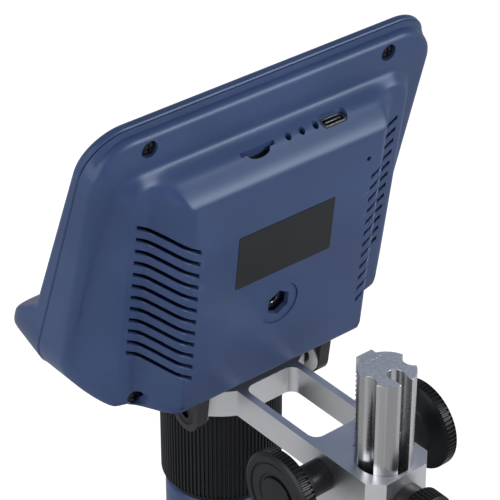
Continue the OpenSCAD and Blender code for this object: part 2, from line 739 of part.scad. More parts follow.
module hinge_washers() color([0.1, 0.1, 0.11]) both_sides() difference() {
    x_rod(flat_x, flat_x + 0.45, hinge_y, hinge_z, ear_r - 0.4);
    x_rod(flat_x - 1, flat_x + 2, hinge_y, hinge_z, hinge_d / 2 + touch);
}

module pinion_shaft() color([0.7, 0.71, 0.73])
    x_rod(1.5 - knob_out, knob_out - 1.5, shaft_y, shaft_z, shaft_d / 2);

// The pinion, an involute gear with one tooth pointing at the rack
function involute(a) = tan(a) * 180 / PI - a;
function tooth_half(r) =
    90 / pinion_teeth - backlash / 4 / pinion_r * 180 / PI + involute(20)
        - (r > pinion_base ? involute(acos(pinion_base / r)) : 0);
function flank(t, side, radii) =
    [for (r = radii) let (a = 360 * t / pinion_teeth + side * tooth_half(r)) r * [cos(a), sin(a)]];

module pinion() color([0.72, 0.6, 0.35]) translate([0, shaft_y, shaft_z]) rotate([90, 0, 90]) difference() {
    radii = [pinion_r - tooth_down, pinion_base, pinion_r - 0.05, pinion_r + 0.2, pinion_tip - 0.1];
    down = [for (k = [4:-1:0]) radii[k]];
    linear_extrude(pinion_w, center = true) polygon([for (t = [0:pinion_teeth - 1])
        each concat(flank(t, -1, radii), flank(t, 1, down))]);
    cylinder(h = pinion_w + 2, d = shaft_d, center = true, $fn = 64);
}

// A knob on its end: z = 0 is the inner end of the hub, and the knurled rim is at the outer end
module knob() {
    top = knob_rim + 5.5;
    core = knob_r - 0.8;
    difference() {
        union() {
            rotate_extrude($fn = 96) polygon([[0, 0], [5.2, 0], [5.4, 1.6], [7.2, 4], [9.6, 4.8],
                [knob_r - 1.2, 5.5], [core, 5.6], [core, top - 0.4], [core - 0.5, top], [0, top]]);
            translate([0, 0, 5.9]) linear_extrude(top - 6.6) ribbed(knob_r, 0.7, knurls);
        }
        translate([0, 0, -1]) cylinder(h = top - 0.5, d = shaft_d, $fn = 64);
        translate([0, 0, top - 1]) tube(0, 2, knob_r - 2.6, 7);
        translate([0, 0, top - 1.5]) cylinder(h = 3, r = 6, $fn = 64);
    }
}

module knob_left() color([0.1, 0.11, 0.12])
    translate([-knob_out + knob_rim + 5.5, shaft_y, shaft_z]) rotate([0, -90, 0]) knob();

module knob_right() color([0.1, 0.11, 0.12])
    translate([knob_out - knob_rim - 5.5, shaft_y, shaft_z]) rotate([0, 90, 0]) knob();

module knob_caps() color([0.13, 0.14, 0.15]) both_sides()
    x_rod(knob_out - 1.5, knob_out + 0.1, shaft_y, shaft_z, 6);

module lock_knob() color([0.1, 0.11, 0.12]) translate([0, lock_y + 0.2, lock_z]) rotate([-90, 0, 0]) difference() {
    union() {
        cylinder(h = 1, r1 = 5, r2 = lock_r - 0.6, $fn = 64);
        translate([0, 0, 1]) linear_extrude(lock_grip - 1.8) ribbed(lock_r, 0.5, 36);
        translate([0, 0, lock_grip - 0.8]) cylinder(h = 0.8, r1 = lock_r - 0.5, r2 = lock_r - 1.3, $fn = 64);
    }
    translate([0, 0, -1]) cylinder(h = lock_grip, r = lock_d / 2, $fn = 48);
}

module lock_stud() color([0.7, 0.71, 0.73])
    y_rod(block_y1 - 0.6, lock_y + lock_grip - 0.8, 0, lock_z, lock_d / 2);

// The ribbed focus ring, with a relief inside where the guide pins run
module focus_ring() color([0.1, 0.11, 0.12]) translate([0, axis_y, 0]) difference() {
    core_r = focus_r - rib_depth;
    relief = 2 * (lens_travel + guide_r + 0.4);
    union() {
        translate([0, 0, focus_top - 0.7]) cylinder(h = 0.7, r1 = core_r, r2 = core_r - 0.4, $fn = 128);
        translate([0, 0, focus_bottom + 1.4])
            linear_extrude(focus_len - 2.1) ribbed(focus_r, rib_depth, focus_ribs);
        translate([0, 0, focus_bottom]) cylinder(h = 1.4, r1 = core_r - 0.9, r2 = core_r, $fn = 128);
    }
    translate([0, 0, focus_bottom - 1]) cylinder(h = focus_len + 2, r = sleeve_r + touch, $fn = 96);
    translate([0, 0, guide_z - relief / 2]) cylinder(h = relief, r = sleeve_r + 1.2, $fn = 96);
}

module lens_carrier() color([0.15, 0.15, 0.16]) translate([0, axis_y, 0]) difference() {
    union() {
        translate([0, 0, carrier_bottom]) cylinder(h = carrier_top - carrier_bottom, r = carrier_r, $fn = 96);
        translate([0, 0, nose_bottom]) cylinder(h = carrier_bottom - nose_bottom + 1, r = nose_r, $fn = 96);
    }
    translate([0, 0, carrier_bottom + 2]) cylinder(h = carrier_top - carrier_bottom, r = carrier_r - 2, $fn = 96);
    translate([0, 0, nose_bottom - 1]) cylinder(h = carrier_top - nose_bottom, r = nose_r - 2.4, $fn = 96);
    translate([0, 0, nose_bottom - 1]) cylinder(h = 6, r = nose_r - 1, $fn = 96);
    both_sides() translate([carrier_r - 3, 0, guide_z]) rotate([0, 90, 0]) cylinder(h = 4, r = guide_r, $fn = 32);
}

module objective_lens() color([0.7, 0.85, 0.95, 0.5]) translate([0, axis_y, nose_bottom + 5]) intersection() {
    translate([0, 0, -4]) cylinder(h = 4, r = nose_r - 1, $fn = 96);
    translate([0, 0, 14.6]) sphere(r = 18, $fn = 96);
}

module lens_retainer() color([0.1, 0.1, 0.11]) translate([0, axis_y, 0])
    tube(nose_bottom + 0.3, nose_bottom + 1.2, nose_r - 1, nose_r - 2.2);

module guide_pins() color([0.7, 0.71, 0.73]) both_sides()
    x_rod(carrier_r - 2, sleeve_r + 1, axis_y, guide_z, guide_r);

// One contour of the back, from the foot of the first riser (0) to the edge of the back face (9)
function contour(t) = [
    t <= 3 ? riser_hw - 1.8 * t : step_hw - 2.2 * (t - 4), head_low + edge_r + 0.2 + 0.15 * t,
    head_high - 12.3 - 1.27 * t, 16 - 1.35 * t, 9 - 0.5 * t, max(0, 0.075 - 0.025 * t), 0.6 + 0.3 * t];
function inner_contour(t) = let (s = contour(t), w = shell_wall) [
    s[0] - 0.7 * w, head_low + w + 0.1 + 0.1 * t, s[2] - 0.6 * w,
    max(1.5, s[3] - w), max(1.5, s[4] - w / 2), s[5], s[6] + 0.3];
function rim(e) =
    [head_hw - 0.4 - e, head_low + e, head_high - 1.7 - e, low_corner_r - e, high_corner_r - e, 0, -edge_r];

module shell_outside() loft(concat(
    [flat_ring([head_hw, head_low, head_high, low_corner_r, high_corner_r], parting_lean, parting_depth)],
    [for (e = [0, 0.14, 0.44, 1]) back_ring(rim(e * edge_r), 1, 0)],
    [for (t = [0:9]) back_ring(contour(t), 1, 0)]));

module shell_inside() loft(concat(
    [flat_ring(rim(shell_wall - 0.2), parting_lean, parting_depth + 1)],
    [back_ring(rim(shell_wall), 0, shell_wall)],
    [for (t = [0, 3, 4, 5.5, 7, 9]) back_ring(inner_contour(t), 0, shell_wall)]));

module at_case_screws() {
    for (x = [-post_x, post_x], v = [post_low, post_high]) translate([x, v, back_at(x, v)]) children();
}

module at_board_screws() {
    for (s = [-1, 1], v = [board_low + board_edge, board_high - board_edge])
        translate([s * (board_w / 2 - board_edge), v, 0]) children();
}

module at_ear_screws() {
    both_sides() for (x = [-7.5, 7.5]) translate([ear_mid + x, 0, hinge_dd]) children();
}

module v_rod(v0, v1, r) {
    translate([0, v0, 0]) rotate([-90, 0, 0]) cylinder(h = v1 - v0, r = r, $fn = 32);
}

module vents_cut() {
    both_sides() for (i = [0:vents - 1]) translate([vent_inner, vent_high - i * vent_pitch, 0]) hull() {
        translate([0, 0, -1]) cube([0.02, vent_w, step_depth + 6]);
        translate([vent_span, vent_rise, -1]) cube([0.02, vent_w, step_depth + 6]);
    }
}

// The moulded back: a raised back face, an S-shaped step to a terrace, a riser to the flange, and slanted vents
module rear_shell() color([0.24, 0.3, 0.44]) head() difference() {
    shell_outside();
    difference() {
        shell_inside();
        at_case_screws() cylinder(h = 3.5, r = 4.2, $fn = 24);
        at_board_screws() cylinder(h = board_d, r = 2.6, $fn = 20);
        at_ear_screws() v_rod(head_low, foot_v, 2.6);
        translate([0, nut_v, 0]) cylinder(h = board_d + 0.4, r = nut_d / 2 + 2.76, $fn = 32);
    }
    vents_cut();
    at_case_screws() {
        translate([0, 0, -2]) cylinder(h = 2 + recess_depth, r = recess_r, $fn = 24);
        cylinder(h = 5, r = 1.3 + screw_gap, $fn = 16);
    }
    at_board_screws() translate([0, 0, 2.5]) cylinder(h = board_d, r = 1 + screw_gap, $fn = 16);
    at_ear_screws() v_rod(head_low + 1, foot_v + 1, 1 + screw_gap);
    both_sides() translate([ear_out - ear_t - 0.35, head_low - 1, hinge_dd - ear_r - 0.7])
        cube([ear_t + 0.7, shell_wall + 3, 2 * ear_r + 1.4]);
    translate([-label_w / 2 - 0.1, label_low - 0.1, -1]) cube([label_w + 0.2, label_h + 0.2, 1.25]);
    translate([0, nut_v, -1]) {
        cylinder(h = 1.4, r = nut_d / 2 + 2.56, $fn = 48);
        rotate([0, 0, 30]) cylinder(h = 4 + nut_t, d = nut_d + 0.12, $fn = 6);
        cylinder(h = 12, r = 2.1, $fn = 32);
    }
    translate([-27.5, 67.4, -1]) cylinder(h = 5, d = 1.5, $fn = 16);
    translate([port_x, 0, port_d]) {
        translate([-3, 70, -1.7]) cube([6, 25, 3.4]);
        for (x = [-3, 3]) translate([x, 0, 0]) v_rod(70, 95, 1.7);
    }
    translate([socket_x - 5.65, 70, 5.5]) cube([11.3, 25, 1.5]);
    translate([socket_x, 0, 5.5]) v_rod(79.7, 95, 2.4);
    for (x = [-2.7, -7.4, -12.1]) translate([x, 0, port_d]) v_rod(72, 95, 1);
}

// A plane outline with its own radii at the lower and the upper corners
module plain_outline(half, low, high, r_low, r_high) {
    translate([-half, low + r_low]) square([2 * half, high - low - r_low - r_high]);
    translate([r_low - half, low]) square([2 * (half - r_low), r_low + 1]);
    translate([r_high - half, high - r_high - 1]) square([2 * (half - r_high), r_high + 1]);
    for (x = [-1, 1]) {
        translate([x * (half - r_low), low + r_low]) circle(r = r_low, $fn = 96);
        translate([x * (half - r_high), high - r_high]) circle(r = r_high, $fn = 96);
    }
}

// The same outline as a slab of height h, with a chamfer c round its top
module chamfered_slab(half, low, high, r_low, r_high, h, c) {
    linear_extrude(h - c) plain_outline(half, low, high, r_low, r_high);
    edge = h - c;
    root = edge - 1;
    translate([0, high - r_high, 0]) rotate([90, 0, 0]) linear_extrude(high - low - r_low - r_high)
        polygon([[-half, root], [half, root], [half, edge], [half - c, h], [c - half, h], [-half, edge]]);
    rotate([90, 0, 90]) {
        linear_extrude(2 * (half - r_low), center = true)
            polygon([[low, root], [low, edge], [low + c, h], [low + r_low, h], [low + r_low, root]]);
        linear_extrude(2 * (half - r_high), center = true)
            polygon([[high, root], [high, edge], [high - c, h], [high - r_high, h], [high - r_high, root]]);
    }
    for (x = [-1, 1]) {
        translate([x * (half - r_low), low + r_low, edge]) cylinder(h = c, r1 = r_low, r2 = r_low - c, $fn = 96);
        translate([x * (half - r_high), high - r_high, edge])
            cylinder(h = c, r1 = r_high, r2 = r_high - c, $fn = 96);
    }
}

// The control panel as a bar with a round nose
module chin_bar(r, low, high, half, depth) {
    up = atan(nose_w / (high - nose_s)) + asin(r / norm([high - nose_s, nose_w]));
    down = atan(nose_w / (nose_s - low)) + asin(r / norm([nose_s - low, nose_w]));
    rotate([90, 0, 90]) linear_extrude(2 * half, center = true) {
        translate([nose_s, nose_w]) circle(r = r, $fn = 64);
        polygon([[low, -depth], [low, 0], [nose_s - r * sin(down), nose_w + r * cos(down)], [nose_s, nose_w],
            [nose_s + r * sin(up), nose_w + r * cos(up)], [high, 0], [high, -depth]]);
    }
}

// Its outer form: as wide as the frame round the screen, with ends that curve away towards the sides
module chin_outside() {
    half = head_hw + 0.1;
    rise = chin_out + 0.05 - chin_end_h;
    curve = [for (a = [0:10:90]) [half - chin_end_w * (1 - cos(a)), chin_end_h + rise * sin(a)]];
    intersection() {
        chin_bar(nose_round, chin_low, chin_high, head_hw + 1, 0.5);
        translate([0, 0, -0.4]) linear_extrude(chin_out + 2)
            polygon(outline(half, bezel_low + 0.1, bezel_high - 0.1, low_corner_r - 0.1, high_corner_r - 0.1));
        translate([0, chin_high + 1, 0]) rotate([90, 0, 0]) linear_extrude(chin_high + 2) polygon(concat(
            [[half + 1, -0.6], [half + 1, chin_end_h]], curve,
            [for (k = [len(curve) - 1:-1:0]) [-curve[k].x, curve[k].y]],
            [[-half - 1, chin_end_h], [-half - 1, -0.6]]));
    }
}

// Its hollow: a smaller bar with slanted ends
module chin_inside() difference() {
    half = chin_hw - shell_wall - 0.5;
    chin_bar(0.3, chin_low + shell_wall + 0.3, chin_high - shell_wall / sin(chin_lean), half, face_t + 1);
    both_sides() translate([half, -10, 0]) rotate([0, -34, 0]) cube([40, 60, 40]);
}

module at_buttons() {
    for (i = [0:buttons - 1]) translate([(i - (buttons - 1) / 2) * button_pitch, 0, 0]) children();
}

module at_key_board_posts() {
    for (s = [-1, 1]) translate([s * (buttons / 2 * button_pitch + 1.5), -2, 0]) children();
}

// The screen side: a frame round the glass over a hollow control panel, with four posts that reach back to the
// case screws
module front_bezel() color([0.24, 0.3, 0.44]) head() difference() {
    union() {
        difference() {
            screen_local() union() {
                translate([0, 0, -bezel_t]) chamfered_slab(head_hw + 0.2, bezel_low, bezel_high, low_corner_r,
                    high_corner_r, bezel_t, bezel_edge);
                chin_outside();
            }
            screen_local() {
                translate([0, 0, -bezel_t - 1]) linear_extrude(bezel_t + 1 - face_t)
                    plain_outline(head_hw - shell_wall, bezel_low + shell_wall, bezel_high - shell_wall,
                        low_corner_r - shell_wall, high_corner_r - shell_wall);
                chin_inside();
            }
        }
        for (x = [-post_x, post_x], v = [post_low, post_high]) translate([x, v, back_at(x, v) + 3.5])
            cylinder(h = screen_at(v + 3) - 1 - back_at(x, v) - 3.5, r = 2.6, $fn = 32);
        panel_local() at_key_board_posts() translate([0, 0, -key_board_q])
            cylinder(h = key_board_q - shell_wall + 0.2, r = 2.2, $fn = 32);
    }
    translate([0, head_low, parting_depth]) rotate([-parting_lean, 0, 0])
        translate([-2 * head_hw, -head_high, -head_high]) cube([4 * head_hw, 3 * head_high, head_high]);
    screen_local() {
        translate([-view_w / 2, view_high - view_h, -5]) cube([view_w, view_h, 10]);
        translate([-glass_hw, glass_low, -glass_t]) cube([2 * glass_hw, glass_high - glass_low, 5]);
    }
    at_case_screws() cylinder(h = 6.3, r = 1.3, $fn = 24);
    panel_local() {
        at_buttons() translate([0, 0, -flange_q]) cylinder(h = 2 * flange_q, r = button_r + touch, $fn = 64);
        at_key_board_posts() translate([0, 0, -key_board_q - 1]) cylinder(h = 4, r = 0.8, $fn = 24);
    }
}

module screen_cover() color([0.06, 0.07, 0.08]) head() screen_local()
    translate([0.1 - glass_hw, glass_low + 0.1, -glass_t])
        cube([2 * glass_hw - 0.2, glass_high - glass_low - 0.2, glass_t]);

module lcd_panel() color([0.1, 0.11, 0.13]) head() screen_local()
    translate([-lcd_w / 2, lcd_low, -face_t - lcd_t]) cube([lcd_w, lcd_h, lcd_t]);

module main_board() color([0.05, 0.3, 0.15]) head() difference() {
    translate([-board_w / 2, board_low, board_d]) cube([board_w, board_high - board_low, board_t]);
    at_board_screws() cylinder(h = 20, r = 1, $fn = 24);
}

module board_screws() color([0.3, 0.3, 0.32]) head() at_board_screws()
    translate([0, 0, board_d + board_t]) mirror([0, 0, 1]) machine_screw(2, 5, 3.6, 1.2, 1.6);

module processor() color([0.12, 0.12, 0.13]) head()
    translate([-9, board_low + 10, board_d + board_t]) cube([18, 18, 1.4]);

module usb_port() color([0.75, 0.76, 0.78]) head() translate([port_x, 0, port_d]) difference() {
    shell_r = 1.6;
    union() {
        translate([-2.9, 72.9, -shell_r]) cube([5.8, 7.3, 2 * shell_r]);
        for (x = [-2.9, 2.9]) translate([x, 0, 0]) v_rod(72.9, 80.2, shell_r);
    }
    translate([-2.9, 74, 0.4 - shell_r]) cube([5.8, 7.3, 0.9]);
    translate([-2.9, 74, shell_r - 1.3]) cube([5.8, 7.3, 0.9]);
    for (x = [-3.3, 2.7]) translate([x, 74, -0.9]) cube([0.6, 7.3, 1.8]);
}

module card_socket() color([0.72, 0.73, 0.75]) head() difference() {
    translate([socket_x - 7, 64, board_d - 2.2]) cube([14, 13.4, 2.2]);
    translate([socket_x - 5.6, 65, board_d - 1.8]) cube([11.2, 15, 1.1]);
}

module case_screws() color([0.12, 0.12, 0.13]) head() at_case_screws()
    translate([0, 0, recess_depth]) screw_in_recess();

module screw_in_recess() {
    cylinder(h = 4.6, r = 1.3, $fn = 24);
    difference() {
        translate([0, 0, -1.1]) cylinder(h = 1.1, r = 2.3, $fn = 48);
        for (a = [0, 90]) rotate([0, 0, a]) translate([-1.4, -0.25, -2]) cube([2.8, 0.5, 1.6]);
    }
}

module label_plate() color([0.1, 0.1, 0.11]) head()
    translate([-label_w / 2, label_low, -0.1]) cube([label_w, label_h, 0.35]);

module rear_nut() color([0.3, 0.3, 0.32]) head() translate([0, nut_v, 3]) difference() {
    rotate([0, 0, 30]) cylinder(h = nut_t, d = nut_d, $fn = 6);
    translate([0, 0, -1]) cylinder(h = nut_t + 2, r = 1.65, $fn = 32);
}

// A hinge ear hangs from a foot inside the case, through a slot in its lower wall, to the pin on the lens ring
module hinge_ear() {
    half = ear_r + 0.1;
    head() difference() {
        union() {
            along_x(ear_out - ear_t) linear_extrude(ear_t) {
                translate([hinge_v, hinge_dd]) circle(r = ear_r, $fn = 64);
                polygon([[hinge_v, hinge_dd - ear_r], [head_low - 0.5, hinge_dd - half],
                    [foot_v + 1, hinge_dd - half], [foot_v + 1, hinge_dd + half],
                    [head_low - 0.5, hinge_dd + half], [hinge_v, hinge_dd + ear_r]]);
            }
            translate([ear_mid - 10.5, foot_v, hinge_dd - 3.7]) cube([21, 2, 8.7]);
        }
        along_x(ear_out - 2.2) translate([hinge_v, hinge_dd, 0]) cylinder(h = 5, r = 3.6, $fn = 64);
        along_x(0) translate([hinge_v, hinge_dd, 0]) cylinder(h = ear_out, r = hinge_d / 2 + touch, $fn = 48);
        for (x = [-7.5, 7.5]) translate([ear_mid + x, 0, hinge_dd]) v_rod(foot_v - 1, foot_v + 4, 1);
    }
}

module hinge_ear_right() color([0.12, 0.12, 0.13]) hinge_ear();

module hinge_ear_left() color([0.12, 0.12, 0.13]) mirror([1, 0, 0]) hinge_ear();

module ear_screws() color([0.3, 0.3, 0.32]) head() at_ear_screws()
    translate([0, foot_v + 2, 0]) rotate([90, 0, 0]) machine_screw(2, 5, 3.8, 1.3, 1.6);

module button_board() color([0.05, 0.3, 0.15]) head() panel_local() {
    half = buttons / 2 * button_pitch + 4;
    difference() {
        translate([-half, -7.5, -key_board_q - 1.2]) cube([2 * half, 11.5, 1.2]);
        at_key_board_posts() translate([0, 0, -key_board_q - 2]) cylinder(h = 4, r = 0.8, $fn = 24);
    }
}

module key_switches() color([0.15, 0.15, 0.16]) head() panel_local() at_buttons() {
    translate([-3, -3, -key_board_q]) cube([6, 6, 1.9]);
    translate([0, 0, -key_board_q + 1.9]) cylinder(h = 0.6, r = 1.5, $fn = 32);
}

// A round button with a retaining flange behind the panel and a stem above its switch
module button(i) color([0.14, 0.15, 0.17]) head() panel_local()
    translate([(i - (buttons + 1) / 2) * button_pitch, 0, 0]) {
        translate([0, 0, -flange_q]) cylinder(h = flange_q + 0.9, r = button_r, $fn = 64);
        translate([0, 0, 0.9]) cylinder(h = 0.3, r1 = button_r, r2 = button_r - 0.5, $fn = 64);
        translate([0, 0, -flange_q - 1]) cylinder(h = 1, r = button_r + 0.8, $fn = 64);
        translate([0, 0, -stem_q]) cylinder(h = 1.3, r = 1.2, $fn = 32);
    }

base_plate();
work_mat();
rubber_feet();
column();
rack();
column_screws();
clip_posts();
clip_left();
clip_right();
arm();
shaft_bushes();
lock_bush();
lock_pad();
barrel_sleeve();
sleeve_screws();
barrel_cap();
sensor_board();
image_sensor();
lens_hood();
led_board();
leds();
led_diffuser();
hinge_pins();
hinge_washers();
pinion_shaft();
pinion();
knob_left();
knob_right();
knob_caps();
lock_knob();
lock_stud();
focus_ring();
lens_carrier();
objective_lens();
lens_retainer();
guide_pins();
rear_shell();
front_bezel();
screen_cover();
lcd_panel();
main_board();
board_screws();
processor();
usb_port();
card_socket();
case_screws();
label_plate();
rear_nut();
hinge_ear_left();
hinge_ear_right();
ear_screws();
button_board();
key_switches();
button(1);  // button_1
button(2);  // button_2
button(3);  // button_3
button(4);  // button_4
button(5);  // button_5
button(6);  // button_6
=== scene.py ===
"""The looks of a bench microscope with its own display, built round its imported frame."""

import json
import math

import bmesh
import bpy
import numpy as np
from mathutils import Matrix, Vector


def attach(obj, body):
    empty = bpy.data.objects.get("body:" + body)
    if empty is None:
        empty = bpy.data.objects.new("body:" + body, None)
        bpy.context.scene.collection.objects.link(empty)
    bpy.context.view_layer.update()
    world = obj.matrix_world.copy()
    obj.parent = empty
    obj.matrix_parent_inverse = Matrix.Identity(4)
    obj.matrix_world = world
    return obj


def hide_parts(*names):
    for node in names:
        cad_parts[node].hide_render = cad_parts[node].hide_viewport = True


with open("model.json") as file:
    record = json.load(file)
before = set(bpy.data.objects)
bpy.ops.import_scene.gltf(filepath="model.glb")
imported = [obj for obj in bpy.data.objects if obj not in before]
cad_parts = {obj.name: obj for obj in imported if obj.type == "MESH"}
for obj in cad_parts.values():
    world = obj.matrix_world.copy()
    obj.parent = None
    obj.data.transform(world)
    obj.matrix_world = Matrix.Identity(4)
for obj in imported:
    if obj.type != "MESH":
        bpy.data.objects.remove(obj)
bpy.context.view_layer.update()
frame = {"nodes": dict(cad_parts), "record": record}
nodes = frame["nodes"]

# ---------------------------------------------------------------- sizes, in millimetres
# On the stand x runs to the right, y to the column and z up. In the head x is the same, v runs up its back and
# d from the back face into it. On the screen side x is the same, s runs up and w outwards.
MM = 0.001
AXIS_Y = -7.0
ARM_TOP = max(v.co.z for v in nodes["arm"].data.vertices) / MM
BACK_LEAN = math.radians(6.72)
BACK_REACH = 22.45
SCREEN_LEAN = math.radians(15.11)
PARTING_LEAN = math.radians(13.15)
HEAD_HALF, HEAD_LOW, HEAD_HIGH = 57.8, 4.5, 97.3
HEAD_DEPTH = 40.97
PARTING_DEPTH = HEAD_DEPTH - 6
LOW_CORNER, HIGH_CORNER = 19.0, 12.5
WALL = 2.0
EDGE_R = 2.5
RIM_HALF, RIM_HIGH = HEAD_HALF - 0.4, HEAD_HIGH - 1.7
FLANGE_DEPTH, FLANGE_SINK, FLANGE_SINK_FROM = 10.15, 0.145, 88
FOOT_HALF, FOOT_HIGH, FOOT_R = 51.8, HEAD_HIGH - 12.3, 9
FLARE, FLARE_FROM = 0.095, 72
TERRACE_HALF, TERRACE_DEPTH, TERRACE_SINK, TERRACE_SINK_FROM = 46.4, 7.8, 0.04, 75
RISER_HALF, RISER_HIGH, RISER_R, RISER_RUN = 41.6, HEAD_HIGH - 13.3, 8, 10
GROOVE = 0.3

VENTS, VENT_PITCH, VENT_HIGH = 12, 3.91, 59.6
VENT_INNER, VENT_SPAN, VENT_RISE, VENT_W = 29.3, 15.4, 9.5, 1.3
VENT_CHAMFER, VENT_DEEP, VENT_BEYOND = 0.22, 6, 1.5
CASE_SCREW_X, CASE_SCREW_V = 40.2, (8.4, 91.2)
RECESS_R, RECESS_DEEP, PILOT_R, PILOT_FROM, PILOT_DEEP = 2.5, 1.5, 1.3, 1, 6
NUT_V, NUT_CORNER_R, NUT_DEEP, NUT_RING_R, NUT_RING_DEEP = 29.9, 4.1, 6.2, 6.6, 0.4
LABEL_X, LABEL_V, LABEL_GAP, LABEL_DEEP = 16.5, (41.9, 59.2), 0.1, 0.25
PORT_X, PORT_D, PORT_HALF, PORT_R = -18.25, 6.2, 3, 1.7
CARD_X, CARD_D, CARD_HALF, CARD_HALF_T = 7.65, 6.25, 5.65, 0.55
THUMB_D, THUMB_HALF, THUMB_DEEP, THUMB_FROM = 5.8, 3.9, 1.5, 77
LIGHT_HOLES_X, LIGHT_HOLE_R, LIGHT_HOLE_FROM = (-2.7, -7.4, -12.1), 1, 72
TOP_WALL_FROM, ABOVE_HEAD = 70, 95
EAR_X, EAR_D = (19.95, 24.35), (1.59, 14.39)
MICROPHONE, MICROPHONE_R = (-27.5, 67.4), 0.75

BEZEL_HALF, BEZEL_LOW, BEZEL_HIGH, BEZEL_EDGE = 58.0, 1.564, 97.47, 1.6
GLASS_HALF, GLASS_LOW, GLASS_HIGH, GLASS_T, GLASS_R = 51.0, 30.6, 88.6, 1.0, 1.5
VIEW_HALF, VIEW_LOW, VIEW_HIGH, VIEW_R = 47.5, 31.2, 85.1, 0.5
FACE_T = 2.2
CHIN_LOW, CHIN_HIGH, CHIN_OUT = 7.7, 30.0, 10.7
CHIN_END_W, CHIN_END_H = 10.0, 4.5
NOSE_S, NOSE_W, NOSE_R = 15.0, 8.7, 2.0
CHIN_REACH = math.hypot(CHIN_HIGH - NOSE_S, NOSE_W)
CHIN_LEAN = math.atan2(NOSE_W, CHIN_HIGH - NOSE_S) + math.asin(NOSE_R / CHIN_REACH)
SLOPE_LEN = math.sqrt(CHIN_REACH**2 - NOSE_R**2)
BUTTONS, BUTTON_PITCH, BUTTON_R = 6, 13.0, 3.6
BUTTON_CLEAR, FLANGE_Q, STEM_Q = 0.1, 2.3, 4.5
END_BLEND, FOOT_BLEND, FOOT_SINK = 1.6, 0.8, 0.2

SHAFT_Y, SHAFT_Z = 50.1, ARM_TOP - 7.4
KNOB_R, KNOB_RIM, KNOB_OUT, KNURLS, KNURL_DEPTH = 13.2, 4.35, 27.2, 64, 0.7
CAP_R = 6.0
LOCK_Y, LOCK_Z, LOCK_R, LOCK_GRIP, LOCK_KNURLS = 75.3, ARM_TOP - 8.4, 6.8, 7.0, 36
FOCUS_R, FOCUS_TOP, FOCUS_LEN, FOCUS_RIBS, RIB_DEPTH = 17.8, ARM_TOP - 8.8, 36.7, 90, 0.5
SLEEVE_R = 15.0
HOOD_TOP, HOOD_LOW, HOOD_R = ARM_TOP - 45.8, ARM_TOP - 62, 16.6
BOARD_D = 9.2

# In metres: points nearer than this are joined, on a new mesh and on a node's, and a face so small is none.
WELD, NODE_WELD, NO_AREA = 1e-7, 2e-6, 1e-14

# Place in metres, width in metres, watts, and whether gloss mirrors the lamp.
LAMPS = [
    ("key", (-0.36, 0.56, 0.48), 0.28, 4.3, True),
    ("side", (0.95, 0.1, 0.5), 0.9, 8.5, True),
    ("front", (-0.2, -0.9, 0.7), 0.9, 5.0, False),
]
# What gloss mirrors of the surround, from the horizon and below (0) to straight above (1).
SKY_STOPS = [
    (0.0, (0.8, 0.81, 0.84, 1)), (0.1, (0.6, 0.61, 0.65, 1)), (0.3, (0.26, 0.27, 0.32, 1)),
    (1.0, (0.36, 0.37, 0.42, 1)),
]
FLOOR_GLOW, FLOOR_GLOW_MIRRORED, FLOOR_GLOW_SHARE = 1.2, 0.45, 0.78
CAMERA_AT = (336.35, 414.76, ARM_TOP + 381.24)
CAMERA_AZIMUTH, CAMERA_ELEVATION, CAMERA_LENS = math.radians(140.53), math.radians(32.97), 166.3

# ---------------------------------------------------------------- frames, each from its millimetres to metres
STAND = Matrix.Scale(MM, 4)
HEAD_FOOT = (0, AXIS_Y + BACK_REACH * math.cos(BACK_LEAN), ARM_TOP - BACK_REACH * math.sin(BACK_LEAN))
HEAD = STAND @ Matrix.Translation(HEAD_FOOT) @ Matrix.Rotation(math.pi / 2 - BACK_LEAN, 4, "X")
SCREEN = HEAD @ Matrix.Translation((0, HEAD_LOW, HEAD_DEPTH)) @ Matrix.Rotation(-SCREEN_LEAN, 4, "X")
PANEL = SCREEN @ Matrix.Translation((0, CHIN_HIGH, 0)) @ Matrix.Rotation(-CHIN_LEAN, 4, "X")
PANEL = PANEL @ Matrix.Translation((0, -SLOPE_LEN / 2, 0))
ON_AXIS = STAND @ Matrix.Translation((0, AXIS_Y, 0))


# ---------------------------------------------------------------- shader maths
class Amount:
    """A number that changes from place to place. An expression on it adds Math nodes to its tree."""

    def __init__(self, maker, socket):
        self.maker = maker
        self.socket = socket

    def __add__(self, other):
        return self.maker.math("ADD", self, other)

    def __sub__(self, other):
        return self.maker.math("SUBTRACT", self, other)

    def __rsub__(self, other):
        return self.maker.math("SUBTRACT", other, self)

    def __mul__(self, other):
        return self.maker.math("MULTIPLY", self, other)

    def __truediv__(self, other):
        return self.maker.math("DIVIDE", self, other)

    __radd__ = __add__
    __rmul__ = __mul__

    def absolute(self):
        return self.maker.math("ABSOLUTE", self)

    def fraction(self):
        return self.maker.math("FRACT", self)

    def rising(self, low, high):
        """0 below low, 1 above high, smooth between them."""
        settings = {"interpolation_type": "SMOOTHSTEP"}
        return Amount(self.maker, self.maker.node("ShaderNodeMapRange", settings, self, low, high).outputs[0])


class NodeMaker:
    """A node tree while it is made. Every node in it comes from one method."""

    def __init__(self, tree):
        self.tree = tree
        tree.nodes.clear()

    def node(self, kind, settings, *inputs, **named):
        """One node: its settings first, then the values or links of its sockets, by place or by name."""
        node = self.tree.nodes.new(kind)
        for key, value in settings.items():
            if key == "stops":
                set_stops(node.color_ramp.elements, value)
            else:
                setattr(node, key, value)
        for index, value in enumerate(inputs):
            self.give(node.inputs[index], value)
        for key, value in named.items():
            self.give(node.inputs[key.replace("_", " ")], value)
        return node

    def give(self, socket, value):
        """Sets a socket to a value, or links it to another socket or to an amount."""
        value = value.socket if isinstance(value, Amount) else value
        if isinstance(value, bpy.types.NodeSocket):
            self.tree.links.new(value, socket)
        else:
            socket.default_value = value

    def math(self, operation, *values):
        return Amount(self, self.node("ShaderNodeMath", {"operation": operation}, *values).outputs[0])


